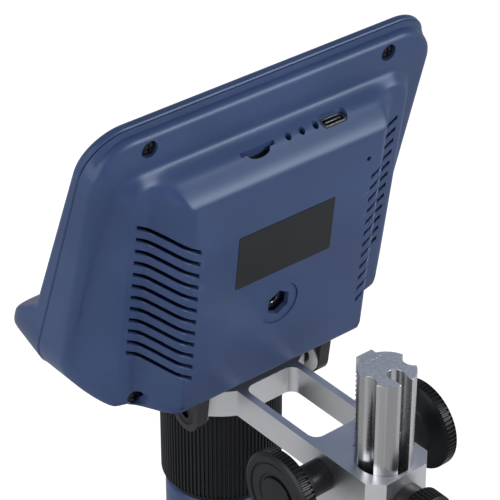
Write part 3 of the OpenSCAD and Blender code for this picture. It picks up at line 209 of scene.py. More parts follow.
def set_stops(ramp, stops):
    """Gives a ramp, which starts with two stops, its (position, colour) stops."""
    for k, (at, color) in enumerate(stops):
        stop = ramp[k] if k < len(ramp) else ramp.new(at)
        stop.position, stop.color = at, color


class Finish(NodeMaker):
    """A material while it is made: one shader and the nodes that feed it."""

    def __init__(self, name, color, roughness, **sockets):
        self.material = bpy.data.materials.new(name)
        self.material.use_nodes = True
        super().__init__(self.material.node_tree)
        sockets |= {"Base_Color": (*color, 1.0), "Roughness": roughness}
        self.shader = self.node("ShaderNodeBsdfPrincipled", {}, **sockets)
        self.output = self.node("ShaderNodeOutputMaterial", {}, self.shader.outputs[0])
        self.place = self.node("ShaderNodeTexCoord", {}).outputs["Object"]

    def noise(self, size, detail=2.0, stretch=None):
        """Noise whose features are about size metres across, or longer where stretch is under 1."""
        place = self.place
        if stretch:
            place = self.node("ShaderNodeMapping", {}, place, Scale=stretch).outputs[0]
        settings = {"noise_dimensions": "3D"}
        node = self.node("ShaderNodeTexNoise", settings, place, Scale=1 / size, Detail=detail)
        return Amount(self, node.outputs["Fac"])

    def axis(self, index):
        return Amount(self, self.node("ShaderNodeSeparateXYZ", {}, self.place).outputs[index])

    def edge_wear(self, low=0.52, high=0.6):
        """1 along outer edges, 0 elsewhere."""
        return Amount(self, self.node("ShaderNodeNewGeometry", {}).outputs["Pointiness"]).rising(low, high)

    def tint(self, factor, first, second):
        """A colour between two, by an amount. Each is three numbers or a colour's socket."""
        node = self.node("ShaderNodeMix", {"data_type": "RGBA"}, factor)
        for index, value in ((6, first), (7, second)):
            self.give(node.inputs[index], (*value, 1.0) if isinstance(value, tuple) else value)
        return node.outputs[2]

    def feed(self, name, value):
        self.give(self.shader.inputs[name], value)
        return self

    def relief(self, height, depth):
        """Raises the surface by height times depth, in metres."""
        return self.feed("Normal", self.node("ShaderNodeBump", {}, Distance=depth, Height=height).outputs[0])


# ---------------------------------------------------------------- finishes
def moulded_blue():
    """Satin blue paint over a moulded shell."""
    f = Finish("satin_blue", (0.031, 0.054, 0.134), 0.4, Specular_IOR_Level=0.32, Coat_Roughness=0.28,
               Specular_Tint=(0.72, 0.84, 1.0, 1.0))
    mottle = f.noise(0.03, 3)
    shade = f.tint(mottle.rising(0.3, 0.7), (0.028, 0.049, 0.122), (0.034, 0.059, 0.146))
    # Painted highlight: the outer edges are tinted a lighter blue.
    f.feed("Base Color", f.tint(f.edge_wear(0.53, 0.62) * 0.25, shade, (0.09, 0.13, 0.26)))
    grain = f.noise(0.0003, 3)
    f.feed("Roughness", 0.36 + 0.08 * grain + 0.05 * mottle)
    f.feed("Coat Weight", 0.06 + 0.06 * mottle)
    return f.relief(grain, 0.000012).material


def black_plastic(name="black_plastic", color=(0.007, 0.008, 0.0095), roughness=0.48, grain_size=0.00025):
    f = Finish(name, color, roughness, Specular_IOR_Level=0.25)
    grain = f.noise(grain_size, 3)
    dust = f.noise(0.008, 4)
    light = tuple(1.7 * c + 0.002 for c in color)
    # Lighter along the outer edges and in patches of dust.
    f.feed("Base Color", f.tint(f.edge_wear() * 0.4 + dust.rising(0.5, 0.8) * 0.2, color, light))
    f.feed("Roughness", roughness - 0.06 + 0.14 * grain)
    return f.relief(grain, 0.00001).material


def satin_aluminium():
    """Bead-blasted and clear anodised."""
    f = Finish("satin_aluminium", (0.74, 0.75, 0.78), 0.36, Metallic=1.0)
    grain = f.noise(0.00022, 3)
    cloud = f.noise(0.012, 4)
    f.feed("Base Color", f.tint(cloud.rising(0.3, 0.75), (0.7, 0.71, 0.74), (0.77, 0.78, 0.8)))
    f.feed("Roughness", 0.3 + 0.1 * grain + 0.06 * cloud)
    return f.relief(grain, 0.000012).material


def drawn_aluminium():
    """Extruded and polished: fine lines along Z."""
    f = Finish("drawn_aluminium", (0.6, 0.61, 0.63), 0.26, Metallic=1.0)
    lines = f.noise(0.0005, 4, (1, 1, 0.012))
    streaks = f.noise(0.0028, 3, (1, 1, 0.006))
    specks = f.noise(0.0007, 3)
    # Faces turned up take the sawn end's finish, rougher and speckled; their lighter colour is partly painted
    # light on the top.
    facing = f.node("ShaderNodeSeparateXYZ", {}, f.node("ShaderNodeNewGeometry", {}).outputs["Normal"])
    sawn_and_lit_top = Amount(f, facing.outputs[2]).rising(0.8, 0.95)
    drawn = f.tint(streaks.rising(0.36, 0.64), (0.44, 0.44, 0.45), (0.74, 0.75, 0.77))
    end = f.tint(specks.rising(0.3, 0.7), (0.62, 0.64, 0.68), (0.78, 0.8, 0.84))
    f.feed("Base Color", f.tint(sawn_and_lit_top, drawn, end))
    f.feed("Roughness", 0.15 + 0.12 * lines + 0.26 * sawn_and_lit_top + 0.08 * specks)
    return f.relief(lines * (1 - sawn_and_lit_top) + 0.6 * specks * sawn_and_lit_top, 0.00002).material


def machined_steel(name="machined_steel", color=(0.5, 0.5, 0.5), roughness=0.28):
    f = Finish(name, color, roughness, Metallic=1.0)
    marks = f.noise(0.0004, 4, (1, 1, 0.2))
    stain = f.noise(0.004, 3)
    dark = tuple(0.75 * c for c in color)
    f.feed("Base Color", f.tint(stain.rising(0.4, 0.75), color, dark))
    f.feed("Roughness", roughness - 0.05 + 0.12 * marks)
    return f.relief(marks, 0.000012).material


def plate_coat():
    """Fine-grained powder coat over the base plate."""
    f = Finish("plate_coat", (0.46, 0.47, 0.49), 0.5, Metallic=0.5, Specular_IOR_Level=0.35)
    orange_peel = f.noise(0.0009, 2)
    grain = f.noise(0.00025, 2)
    cloud = f.noise(0.03, 3)
    f.feed("Base Color", f.tint(cloud.rising(0.35, 0.7), (0.43, 0.44, 0.46), (0.48, 0.49, 0.51)))
    f.feed("Roughness", 0.48 + 0.12 * grain)
    return f.relief(orange_peel + 0.5 * grain, 0.00003).material


def rubber():
    color = (0.018, 0.019, 0.02)
    f = Finish("rubber", color, 0.75, Specular_IOR_Level=0.35)
    grain = f.noise(0.0004, 4)
    scuff = f.noise(0.015, 5)
    f.feed("Base Color", f.tint(scuff.rising(0.5, 0.75), color, tuple(1.7 * c for c in color)))
    f.feed("Roughness", 0.66 + 0.16 * grain)
    return f.relief(grain, 0.00005).material


def work_mat_rubber():
    """A woven-look mat: two crossed ridges."""
    f = Finish("mat_rubber", (0.02, 0.022, 0.025), 0.7, Specular_IOR_Level=0.35)
    pitch = 0.0012
    across = ((f.axis(0) / pitch).fraction() - 0.5).absolute()
    along = ((f.axis(1) / pitch).fraction() - 0.5).absolute()
    scuff = f.noise(0.02, 5)
    f.feed("Base Color", f.tint(scuff.rising(0.5, 0.75), (0.018, 0.02, 0.023), (0.033, 0.036, 0.04)))
    f.feed("Roughness", 0.62 + 0.15 * f.noise(0.0005, 2))
    return f.relief(across * along * 4, 0.0002).material


def circuit_board():
    """Solder mask over copper tracks."""
    f = Finish("circuit_board", (0.01, 0.11, 0.05), 0.35, Coat_Weight=0.4)
    pitch = 0.0014
    tracks = ((f.axis(0) / pitch + 3 * f.noise(0.006, 1)).fraction() - 0.5).absolute().rising(0.3, 0.36)
    f.feed("Base Color", f.tint(tracks, (0.006, 0.07, 0.032), (0.015, 0.15, 0.065)))
    f.feed("Roughness", 0.3 + 0.1 * f.noise(0.0006, 2))
    return f.relief(tracks, 0.00003).material


def brass():
    f = Finish("brass", (0.62, 0.42, 0.16), 0.28, Metallic=1.0)
    tarnish = f.noise(0.003, 4)
    f.feed("Base Color", f.tint(tarnish.rising(0.45, 0.75), (0.62, 0.42, 0.16), (0.4, 0.25, 0.09)))
    f.feed("Roughness", 0.2 + 0.15 * tarnish)
    return f.relief(f.noise(0.0004, 3), 0.00001).material


def pale_plastic(name, color, roughness=0.5):
    f = Finish(name, color, roughness, Subsurface_Weight=0.05)
    grain = f.noise(0.0005, 3)
    f.feed("Base Color", f.tint(f.noise(0.004, 3), tuple(0.9 * c for c in color), color))
    f.feed("Roughness", roughness - 0.05 + 0.1 * grain)
    return f.relief(grain, 0.00001).material


def lens_glass():
    """Coated glass, with a faint violet reflection."""
    f = Finish("lens_glass", (0.8, 0.86, 0.95), 0.02, Transmission_Weight=1.0, IOR=1.52, Coat_Weight=0.5,
               Coat_Tint=(0.6, 0.45, 0.9, 1))
    smear = f.noise(0.004, 4)
    f.feed("Roughness", 0.01 + 0.04 * smear.rising(0.55, 0.8))
    return f.relief(smear, 0.000002).material


def screen_glass():
    """Black glass over a dark picture area that is a little greyer than its border."""
    f = Finish("screen_glass", (0.004, 0.0045, 0.006), 0.05, Coat_Weight=0.6, Coat_Roughness=0.02)
    uv = f.node("ShaderNodeUVMap", {"uv_map": "place"}).outputs[0]
    parts = f.node("ShaderNodeSeparateXYZ", {}, uv)
    x, s = Amount(f, parts.outputs[0]), Amount(f, parts.outputs[1])
    soft = 0.002
    half = 0.5 * VIEW_HALF / GLASS_HALF
    across = 1 - (x - 0.5).absolute().rising(half, half + soft)
    low = (VIEW_LOW + 1 - GLASS_LOW) / (GLASS_HIGH - GLASS_LOW)
    high = (VIEW_HIGH - GLASS_LOW) / (GLASS_HIGH - GLASS_LOW)
    picture = across * s.rising(low, low + soft) * (1 - s.rising(high, high + soft))
    f.feed("Base Color", f.tint(picture, (0.003, 0.0033, 0.004), (0.012, 0.014, 0.018)))
    smear = f.noise(0.02, 5)
    f.feed("Roughness", 0.04 + 0.05 * smear.rising(0.5, 0.8))
    return f.relief(smear, 0.000003).material


def label_film():
    f = Finish("label_film", (0.014, 0.016, 0.018), 0.5, Specular_IOR_Level=0.22)
    fibre = f.noise(0.0008, 4)
    f.feed("Base Color", f.tint(f.noise(0.01, 3), (0.012, 0.014, 0.016), (0.016, 0.0185, 0.021)))
    f.feed("Roughness", 0.48 + 0.1 * fibre)
    return f.relief(fibre, 0.000008).material


blue = moulded_blue()
black = black_plastic()
black_knurl = black_plastic("black_knurl", (0.0075, 0.0085, 0.01), 0.42)
black_barrel = black_plastic("black_barrel", (0.0085, 0.0095, 0.011), 0.44)
black_metal = black_plastic("black_metal", (0.016, 0.016, 0.018), 0.34, 0.0004)
chip_black = black_plastic("chip_black", (0.016, 0.016, 0.018), 0.5, 0.0002)
arm_metal = satin_aluminium()
column_metal = drawn_aluminium()
rack_metal = machined_steel("rack_steel", (0.55, 0.55, 0.56), 0.26)
screw_metal = machined_steel("screw_steel", (0.42, 0.43, 0.45), 0.25)
dark_screw = machined_steel("dark_screw_steel", (0.035, 0.035, 0.04), 0.32)
# Painted shade: the port's and card socket's steel is made dark to stand for the shade inside their openings.
port_metal = machined_steel("port_steel", (0.2, 0.2, 0.21), 0.3)
spring_metal = machined_steel("spring_steel", (0.65, 0.66, 0.68), 0.18)
plate_metal = plate_coat()
foot_rubber = rubber()
mat_rubber = work_mat_rubber()
board_green = circuit_board()
brass_metal = brass()
nylon = pale_plastic("nylon", (0.62, 0.61, 0.57))
led_body = pale_plastic("led_body", (0.75, 0.72, 0.45), 0.3)
frosted = pale_plastic("frosted_plastic", (0.82, 0.83, 0.82), 0.55)
button_grey = pale_plastic("button_grey", (0.3, 0.32, 0.35), 0.42)
glass = lens_glass()
cover_glass = screen_glass()
label_black = label_film()

NODE_FINISH = {
    plate_metal: ["base_plate"],
    mat_rubber: ["work_mat"],
    foot_rubber: ["rubber_feet"],
    column_metal: ["column", "rack"],
    rack_metal: ["pinion_shaft"],
    brass_metal: ["pinion", "lens_retainer"],
    spring_metal: ["clip_left", "clip_right"],
    black_metal: [
        "clip_posts", "hinge_ear_left", "hinge_ear_right", "lock_bush", "lens_carrier", "shaft_bushes",
    ],
    screw_metal: [
        "column_screws", "board_screws", "ear_screws", "sleeve_screws", "lock_stud", "guide_pins", "rear_nut",
    ],
    dark_screw: ["case_screws", "hinge_pins"],
    nylon: ["hinge_washers", "lock_pad"],
    black: ["barrel_cap", "lock_knob", "knob_left", "knob_right", "knob_caps"],
    black_barrel: ["barrel_sleeve", "focus_ring"],
    blue: ["rear_shell", "front_bezel", "lens_hood"],
    board_green: ["sensor_board", "main_board", "button_board"],
    frosted: ["led_board", "led_diffuser"],
    led_body: ["leds"],
    chip_black: ["processor", "image_sensor", "key_switches"],
    glass: ["objective_lens"],
    cover_glass: ["screen_cover"],
    label_black: ["label_plate", "lcd_panel"],
    port_metal: ["usb_port", "card_socket"],
    arm_metal: ["arm"],
    button_grey: ["button_%d" % (k + 1) for k in range(BUTTONS)],
}
finish_of = {name: finish for finish, names in NODE_FINISH.items() for name in names}
body_of = {name: body for body, names in frame["record"]["behaviour"]["bodies"].items() for name in names}
for name, node in nodes.items():
    node.data.materials.clear()
    node.data.materials.append(finish_of[name])


# Nodes that keep their own shape and get rounded edges, with the width of the rounding.
EDGE_WIDTHS = {
    "arm": 0.22, "column": 0.12, "base_plate": 0.3, "work_mat": 0.25, "hinge_ear_left": 0.3,
    "hinge_ear_right": 0.3, "lock_bush": 0.3, "shaft_bushes": 0.15, "clip_left": 0.12, "clip_right": 0.12,
    "rubber_feet": 0.4, "clip_posts": 0.1, "hinge_pins": 0.1, "usb_port": 0.08, "card_socket": 0.08,
    "barrel_sleeve": 0.15, "barrel_cap": 0.15, "rear_nut": 0.12, "column_screws": 0.1,
}


# ---------------------------------------------------------------- mesh making
def new_piece(name, points, faces, material, matrix=STAND):
    """A mesh from points in millimetres of a frame. The matrix is that frame."""
    mesh = bpy.data.meshes.new(name)
    mesh.from_pydata([tuple(p) for p in points], [], faces)
    mesh.transform(matrix)
    mesh.materials.append(material)
    piece = bpy.data.objects.new(name, mesh)
    bpy.context.scene.collection.objects.link(piece)
    return piece


def tidy_mesh(piece, poles=False):
    """Joins doubled points and turns every face outwards. On a turned piece it first closes the poles."""
    shape = bmesh.new()
    shape.from_mesh(piece.data)
    bmesh.ops.remove_doubles(shape, verts=shape.verts, dist=WELD)
    if poles:
        bmesh.ops.dissolve_degenerate(shape, dist=WELD, edges=shape.edges)
        flat = [face for face in shape.faces if face.calc_area() < NO_AREA]
        bmesh.ops.delete(shape, geom=flat, context="FACES")
    bmesh.ops.recalc_face_normals(shape, faces=shape.faces)
    shape.to_mesh(piece.data)
    shape.free()


def settle(piece):
    """Applies what modifiers the piece has, so that a plain mesh is left."""
    bpy.context.view_layer.update()
    ready = piece.evaluated_get(bpy.context.evaluated_depsgraph_get())
    mesh = bpy.data.meshes.new_from_object(ready)
    old = piece.data
    piece.modifiers.clear()
    piece.data = mesh
    bpy.data.meshes.remove(old)


def smooth(piece, angle=35):
    """Smooth shading that keeps edges sharper than the angle, in degrees."""
    piece.data.shade_smooth()
    piece.data.set_sharp_from_angle(angle=math.radians(angle))


def cut(piece, cutters):
    """Takes the cutters, each a closed mesh, out of the piece."""
    for cutter in cutters:
        modifier = piece.modifiers.new("cut", "BOOLEAN")
        modifier.operation, modifier.solver, modifier.object = "DIFFERENCE", "MANIFOLD", cutter
    settle(piece)
    for cutter in cutters:
        bpy.data.objects.remove(cutter)


def join(pieces, name):
    """One object from several."""
    first = pieces[0]
    with bpy.context.temp_override(active_object=first, object=first, selected_editable_objects=pieces):
        bpy.ops.object.join()
    first.name = name
    return first


def show(piece, *replaced, body=None, slot=None):
    """Hands a finished piece to the frame, with the body of the node that it stands for. The slot is not used.
    """
    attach(piece, body or body_of[replaced[0]])
    if replaced:
        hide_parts(*replaced)
    return piece


def lathe(name, profile, material, matrix, segments=96):
    """A closed profile of (radius, height) points, turned about Z."""
    profile = np.array(profile, float)
    turns = np.linspace(0, 2 * math.pi, segments, endpoint=False)
    points = [(r * math.cos(a), r * math.sin(a), z) for a in turns for r, z in profile]
    n = len(profile)
    faces = []
    for k in range(segments):
        a, b = k * n, (k + 1) % segments * n
        for i in range(n):
            j = (i + 1) % n
            faces.append((a + i, b + i, b + j, a + j))
    piece = new_piece(name, points, faces, material, matrix)
    tidy_mesh(piece, poles=True)
    return piece


def rounded(corners, radius, steps=4):
    """A closed outline with round corners, from (x, y) or (x, y, own radius). Straight ones stay points."""
    points = []
    plain = [(c[0], c[1]) for c in corners]
    count = len(plain)
    for k, corner in enumerate(corners):
        here, before, after = (Vector(plain[i % count]) for i in (k, k - 1, k + 1))
        r = corner[2] if len(corner) > 2 else radius
        to_before, to_after = (before - here), (after - here)
        half = to_before.angle(to_after) / 2
        if r <= 0 or half > math.radians(89.5) or half < 1e-3:
            points.append(tuple(here))
            continue
        reach = min(r / math.tan(half), 0.49 * to_before.length, 0.49 * to_after.length)
        start, end = here + to_before.normalized() * reach, here + to_after.normalized() * reach
        for i in range(steps + 1):
            t = i / steps
            points.append(tuple((1 - t) ** 2 * start + 2 * t * (1 - t) * here + t**2 * end))
    return points


def softened(name, width):
    """A copy of a node with its flat faces joined up and its edges rounded by width millimetres."""
    mesh = nodes[name].data.copy()
    shape = bmesh.new()
    shape.from_mesh(mesh)
    bmesh.ops.remove_doubles(shape, verts=shape.verts, dist=NODE_WELD)
    flat = math.radians(0.4)
    bmesh.ops.dissolve_limit(shape, angle_limit=flat, verts=shape.verts, edges=shape.edges)
    shape.to_mesh(mesh)
    shape.free()
    piece = bpy.data.objects.new(name + "_finished", mesh)
    bpy.context.scene.collection.objects.link(piece)
    mesh.materials.clear()
    mesh.materials.append(finish_of[name])
    mesh.shade_smooth()
    bevel = piece.modifiers.new("round", "BEVEL")
    bevel.width, bevel.segments = width * MM, 2
    bevel.limit_method, bevel.angle_limit = "ANGLE", math.radians(32)
    bevel.use_clamp_overlap = True
    bevel.miter_outer = "MITER_ARC"
    weighted = piece.modifiers.new("faces", "WEIGHTED_NORMAL")
    weighted.mode, weighted.weight = "FACE_AREA", 100
    settle(piece)
    return show(piece, name)


# ---------------------------------------------------------------- geometry nodes
class MeshRule(NodeMaker):
    """A geometry node tree while it is made. Its inputs are named, each with its kind."""

    def __init__(self, name, **kinds):
        super().__init__(bpy.data.node_groups.new(name, "GeometryNodeTree"))
        sockets = self.tree.interface
        for label, kind in {"Geometry": "Geometry", **kinds, "Material": "Material"}.items():
            sockets.new_socket(label.replace("_", " "), in_out="INPUT", socket_type="NodeSocket" + kind)
        sockets.new_socket("Geometry", in_out="OUTPUT", socket_type="NodeSocketGeometry")
        self.given = self.node("NodeGroupInput", {}).outputs

    def amounts(self, sockets):
        return [Amount(self, socket) for socket in sockets]

    def end(self, geometry):
        real = self.node("GeometryNodeRealizeInstances", {}, geometry).outputs[0]
        painted = self.node("GeometryNodeSetMaterial", {}, real, Material=self.given["Material"]).outputs[0]
        self.node("NodeGroupOutput", {}, painted)
        return self.tree


def apply_tree(piece, tree, **values):
    """Runs a geometry tree on a piece, with its inputs set by name, and keeps the plain mesh."""
    modifier = piece.modifiers.new("build", "NODES")
    modifier.node_group = tree
    for item in tree.interface.items_tree:
        key = item.name.replace(" ", "_")
        if item.in_out == "INPUT" and key in values:
            modifier[item.identifier] = values[key]
    settle(piece)


def rib_rule():
    """Presses grooves into the outer wall of a turned piece that stands on Z, so that ribs are left."""
    sizes = ("Count", "Depth", "Radius", "Low", "High", "Run_out", "Land")
    b = MeshRule("ribs", **dict.fromkeys(sizes, "Float"))
    count, depth, radius, low, high, run_out, land = b.amounts(b.given[k.replace("_", " ")] for k in sizes)
    place = b.node("GeometryNodeInputPosition", {}).outputs[0]
    x, y, z = b.amounts(b.node("ShaderNodeSeparateXYZ", {}, place).outputs)
    turn = b.math("ARCTAN2", y, x) / (2 * math.pi)
    whole_turns, flank, wall = 1000.0, 0.06, 0.05 * MM
    from_middle = ((turn * count + whole_turns).fraction() - 0.5).absolute()
    half_land = land * 0.5
    groove = from_middle.rising(half_land - flank, half_land + flank)
    above = z.rising(low, low + run_out)
    below = 1.0 - z.rising(high - run_out, high)
    flat = b.node("ShaderNodeCombineXYZ", {}, x, y, 0.0).outputs[0]
    reach = b.node("ShaderNodeVectorMath", {"operation": "LENGTH"}, flat).outputs["Value"]
    outer = b.math("GREATER_THAN", reach, radius - wall)
    outwards = b.node("ShaderNodeVectorMath", {"operation": "NORMALIZE"}, flat).outputs[0]
    pressed = groove * outer * (above * below) * depth * -1.0
    step = b.node("ShaderNodeVectorMath", {"operation": "SCALE"}, outwards, Scale=pressed).outputs[0]
    return b.end(b.node("GeometryNodeSetPosition", {}, b.given["Geometry"], Offset=step).outputs[0])


def copies_rule():
    """Puts a copy of a small piece on every point, turned to the point's own facing."""
    b = MeshRule("copies", Copy="Object")
    facing = b.node("GeometryNodeInputNamedAttribute", {"data_type": "FLOAT_VECTOR"}, "facing").outputs[0]
    turn = b.node("FunctionNodeAlignRotationToVector", {"axis": "Z"}, Vector=facing).outputs[0]
    copy = b.node("GeometryNodeObjectInfo", {}, b.given["Copy"]).outputs["Geometry"]
    points = b.given["Geometry"]
    return b.end(b.node("GeometryNodeInstanceOnPoints", {}, points, Instance=copy, Rotation=turn).outputs[0])


def board_parts_rule():
    """Small parts in rows on a board: a grid of points, some left out, each with a box of its own size."""
    counts = dict.fromkeys(("Across", "Along", "Seed"), "Int")
    b = MeshRule("board_parts", **dict.fromkeys(("Width", "Depth", "Part"), "Float"), **counts)
    g = b.given
    share_kept, box_shape, smallest, largest = 0.55, (1, 0.55, 0.45), 0.5, 1.0
    grid = b.node("GeometryNodeMeshGrid", {}, g["Width"], g["Depth"], g["Across"], g["Along"]).outputs[0]
    kept = b.node("FunctionNodeRandomValue", {"data_type": "BOOLEAN"}, Probability=share_kept, Seed=g["Seed"])
    keep = next(s for s in kept.outputs if s.enabled)
    points = b.node("GeometryNodeMeshToPoints", {}, grid, keep).outputs[0]
    box = b.node("GeometryNodeMeshCube", {}, box_shape).outputs[0]
    sizes = b.node("FunctionNodeRandomValue", {"data_type": "FLOAT"}, Seed=g["Seed"])
    low, high = [s for s in sizes.inputs if s.enabled and s.name in ("Min", "Max")]
    low.default_value, high.default_value = smallest, largest
    size = b.math("MULTIPLY", next(s for s in sizes.outputs if s.enabled), g["Part"])
    return b.end(b.node("GeometryNodeInstanceOnPoints", {}, points, Instance=box, Scale=size).outputs[0])


RIBS, COPIES, BOARD_PARTS = rib_rule(), copies_rule(), board_parts_rule()


def ribbed(piece, matrix, count, depth, radius, low, high, run_out, land):
    """Grooves a lathe piece about its own Z, in millimetres, and only then puts it in its place.

    The grooves fade over run_out at both ends. Land is the share of the pitch that the ribs' tops keep.
    """
    apply_tree(
        piece, RIBS, Count=float(count), Depth=depth * MM, Radius=radius * MM, Low=low * MM, High=high * MM,
        Run_out=run_out * MM, Land=land, Material=piece.data.materials[0],
    )
    tidy_mesh(piece)
    piece.data.transform(matrix @ Matrix.Scale(1 / MM, 4))
    smooth(piece, 40)
    return piece


def copied(name, master, places, material):
    """One mesh with a copy of the master at each (matrix, point, facing) place."""
    points = [matrix @ Vector(at) for matrix, at, _ in places]
    facings = [(matrix.to_3x3() @ Vector(facing)).normalized() for matrix, _, facing in places]
    piece = new_piece(name, points, [], material, Matrix.Identity(4))
    facing = piece.data.attributes.new("facing", "FLOAT_VECTOR", "POINT")
    facing.data.foreach_set("vector", [c for v in facings for c in v])
    apply_tree(piece, COPIES, Copy=master, Material=material)
    bpy.data.objects.remove(master)
    smooth(piece, 30)
    return piece


# ---------------------------------------------------------------- form of the head's back
def ease(start, end, t):
    k = np.clip((t - start) / (end - start), 0, 1)
    return k * k * (3 - 2 * k)


def inset(x, v, half, high, r):
    """Distance inwards from a rounded outline that is open at its lower edge."""
    px, pv = np.abs(x) - half + r, v - high + r
    return r - np.where((px > 0) & (pv > 0), np.hypot(px, pv), np.maximum(px, pv))


def back_at(x, v):
    """Depth of the back: a flange, a riser to the terrace, and a second riser to the back face."""
    half = np.minimum(HEAD_HALF - 1, FOOT_HALF + FLARE * (FLARE_FROM - v))
    flange = FLANGE_DEPTH + FLANGE_SINK * np.maximum(0, FLANGE_SINK_FROM - v)
    terrace = TERRACE_DEPTH + TERRACE_SINK * np.maximum(0, TERRACE_SINK_FROM - v)
    first = inset(x, v, half, FOOT_HIGH, FOOT_R)
    second = inset(x, v, RISER_HALF, RISER_HIGH, RISER_R)
    to_terrace = (flange - terrace) * ease(0, half - TERRACE_HALF, first)
    return flange - to_terrace - terrace * ease(0, RISER_RUN, second)


def rounding(x, v):
    """Fall of the surface towards the outer edge, as a round of radius EDGE_R."""
    px, pv = np.abs(x) - RIM_HALF + LOW_CORNER, HEAD_LOW + LOW_CORNER - v
    upper = np.minimum(inset(x, v, RIM_HALF, RIM_HIGH, HIGH_CORNER), v - HEAD_LOW)
    q = np.where((px > 0) & (pv > 0), LOW_CORNER - np.hypot(px, pv), upper)
    return EDGE_R - np.sqrt(np.maximum(0, EDGE_R**2 - np.maximum(0, EDGE_R - q) ** 2))


CORNER_STEPS, SIDE_STEPS, END_STEPS = 20, 56, 48


def outline(half, low, high, r_low, r_high):
    """A rounded outline with as many points whatever its size, so that outlines can be lofted."""
    centres = [
        (half - r_low, low + r_low, r_low, -90), (half - r_high, high - r_high, r_high, 0),
        (r_high - half, high - r_high, r_high, 90), (r_low - half, low + r_low, r_low, 180),
    ]
    arcs = []
    for x, v, r, start in centres:
        a = np.radians(start + np.linspace(0, 90, CORNER_STEPS + 1))
        arcs.append(np.stack([x + r * np.cos(a), v + r * np.sin(a)], 1))
    points = []
    for k, steps in enumerate((SIDE_STEPS, END_STEPS, SIDE_STEPS, END_STEPS)):
        start, end = arcs[k][-1], arcs[(k + 1) % 4][0]
        t = np.arange(1, steps)[:, None] / steps
        points += [arcs[k], start + (end - start) * t]
    return np.concatenate(points)


def rim_x(v, e):
    """Half width of the outer rim, moved inwards by e, at a height in the head."""
    below = np.maximum(0, HEAD_LOW + LOW_CORNER - v)
    return RIM_HALF - LOW_CORNER + np.sqrt(np.maximum(0, (LOW_CORNER - e) ** 2 - below**2))


def back_ring(half, low, high, r_low, r_high, flare, margin, wall=0.0, rounded_off=1.0):
    """An outline laid on the back's surface, or at the wall's thickness under it.

    It widens downwards by flare, and stays inside the rim by margin.
    """
    p = outline(half, low, high, r_low, r_high)
    v = p[:, 1]
    flared = np.abs(p[:, 0]) * (1 + flare * (FLARE_FROM - v) / half)
    x = np.sign(p[:, 0]) * np.minimum(flared, rim_x(v, wall or EDGE_R) - margin)
    shift = 0.6 * wall  # so that the inner side keeps its distance on the slanted risers too
    d = back_at(np.abs(x) + shift, v + shift) + wall + rounded_off * rounding(x, v)
    return np.stack([x, v, d], 1)


def parting_ring(inwards, lift):
    """An outline in the parting plane, moved inwards and towards the back."""
    low, high = HEAD_LOW + inwards, HEAD_HIGH - inwards
    p = outline(HEAD_HALF - inwards, low, high, LOW_CORNER - inwards, HIGH_CORNER - inwards)
    d = PARTING_DEPTH - math.tan(PARTING_LEAN) * (p[:, 1] - HEAD_LOW) - lift
    return np.column_stack([p, d])


def contour(t):
    """What back_ring takes for one contour: 0 is the foot of the first riser, 9 the edge of the back face."""
    if t <= 3:
        half = FOOT_HALF - 1.8 * t
    elif t <= 4:
        half = TERRACE_HALF - 4.4 * (t - 3)
    else:
        half = 42 - 2.2 * (t - 4)
    low, high = HEAD_LOW + EDGE_R + 0.2 + 0.15 * t, FOOT_HIGH - 1.27 * t
    flare, margin = max(0, 0.075 - 0.025 * t), 0.6 + 0.3 * t
    return [half, low, high, 16 - 1.35 * t, FOOT_R - 0.5 * t, flare, margin]


def rim(e):
    """The same for the outer rim, moved inwards by e."""
    return [RIM_HALF - e, HEAD_LOW + e, RIM_HIGH - e, LOW_CORNER - e, HIGH_CORNER - e, 0.0, -EDGE_R]


def inner_contour(t):
    """The same for the inner side of the wall under a contour."""
    half, _, high, r_low, r_high, flare, margin = contour(t)
    low, sharpest = HEAD_LOW + WALL + 0.1 + 0.1 * t, 1.5
    r_low, r_high = max(sharpest, r_low - WALL), max(sharpest, r_high - WALL / 2)
    return [half - 0.7 * WALL, low, high - 0.6 * WALL, r_low, r_high, flare, margin + 0.3]


def mixed(first, second, count):
    """Rings between two, without those two."""
    return [first + (second - first) * k / count for k in range(1, count)]


def loft(name, rings, material, matrix, closed=False):
    """A solid through rings of as many points each: capped at both ends, or closed into a hoop."""
    n, m = len(rings[0]), len(rings)
    points = np.concatenate(rings)
    faces = []
    for k in range(m if closed else m - 1):
        a, b = k * n, (k + 1) % m * n
        for i in range(n):
            j = (i + 1) % n
            faces.append((a + i, a + j, b + j, b + i))
    if not closed:
        faces += [tuple(range(n - 1, -1, -1)), tuple(range((m - 1) * n, m * n))]
    piece = new_piece(name, points, faces, material, matrix)
    tidy_mesh(piece)
    return piece


def rear_shell_rings():
    """From the middle of the inner side out to the parting line, and back over the outer side."""
    inner = [back_ring(*inner_contour(t), WALL, 0.0) for t in np.arange(9, -0.1, -1.0)]
    inner.append(back_ring(*rim(WALL), WALL, 0.0))
    inner.append(parting_ring(WALL - 0.2, 0))
    outer = [parting_ring(GROOVE, 0), parting_ring(0, GROOVE)]
    edge = [back_ring(*rim(EDGE_R * (1 - math.cos(math.radians(a))))) for a in range(0, 91, 10)]
    outer += mixed(outer[-1], edge[0], 6) + edge
    start, end = np.array(rim(EDGE_R)[:-1] + [0.0]), np.array(contour(0))
    outer += [back_ring(*sizes) for sizes in mixed(start, end, 4)]
    outer += [back_ring(*contour(t)) for t in [*np.arange(0, 9.01, 0.25), 9.4, 11]]
    return inner + outer


def prism(name, outline_points, low, high, matrix, material=blue):
    """A straight prism over a plane outline."""
    n = len(outline_points)
    points = [(x, y, low) for x, y in outline_points] + [(x, y, high) for x, y in outline_points]
    faces = [tuple(range(n - 1, -1, -1)), tuple(range(n, 2 * n))]
    faces += [(i, (i + 1) % n, n + (i + 1) % n, n + i) for i in range(n)]
    piece = new_piece(name, points, faces, material, matrix)
    tidy_mesh(piece)
    return piece


def rectangle(half, low, high):
    return [(-half, low), (half, low), (half, high), (-half, high)]


def circle(x, y, r, count=48, start=0.0):
    turns = np.linspace(0, 2 * math.pi, count, endpoint=False) + start
    return [(x + r * math.cos(a), y + r * math.sin(a)) for a in turns]


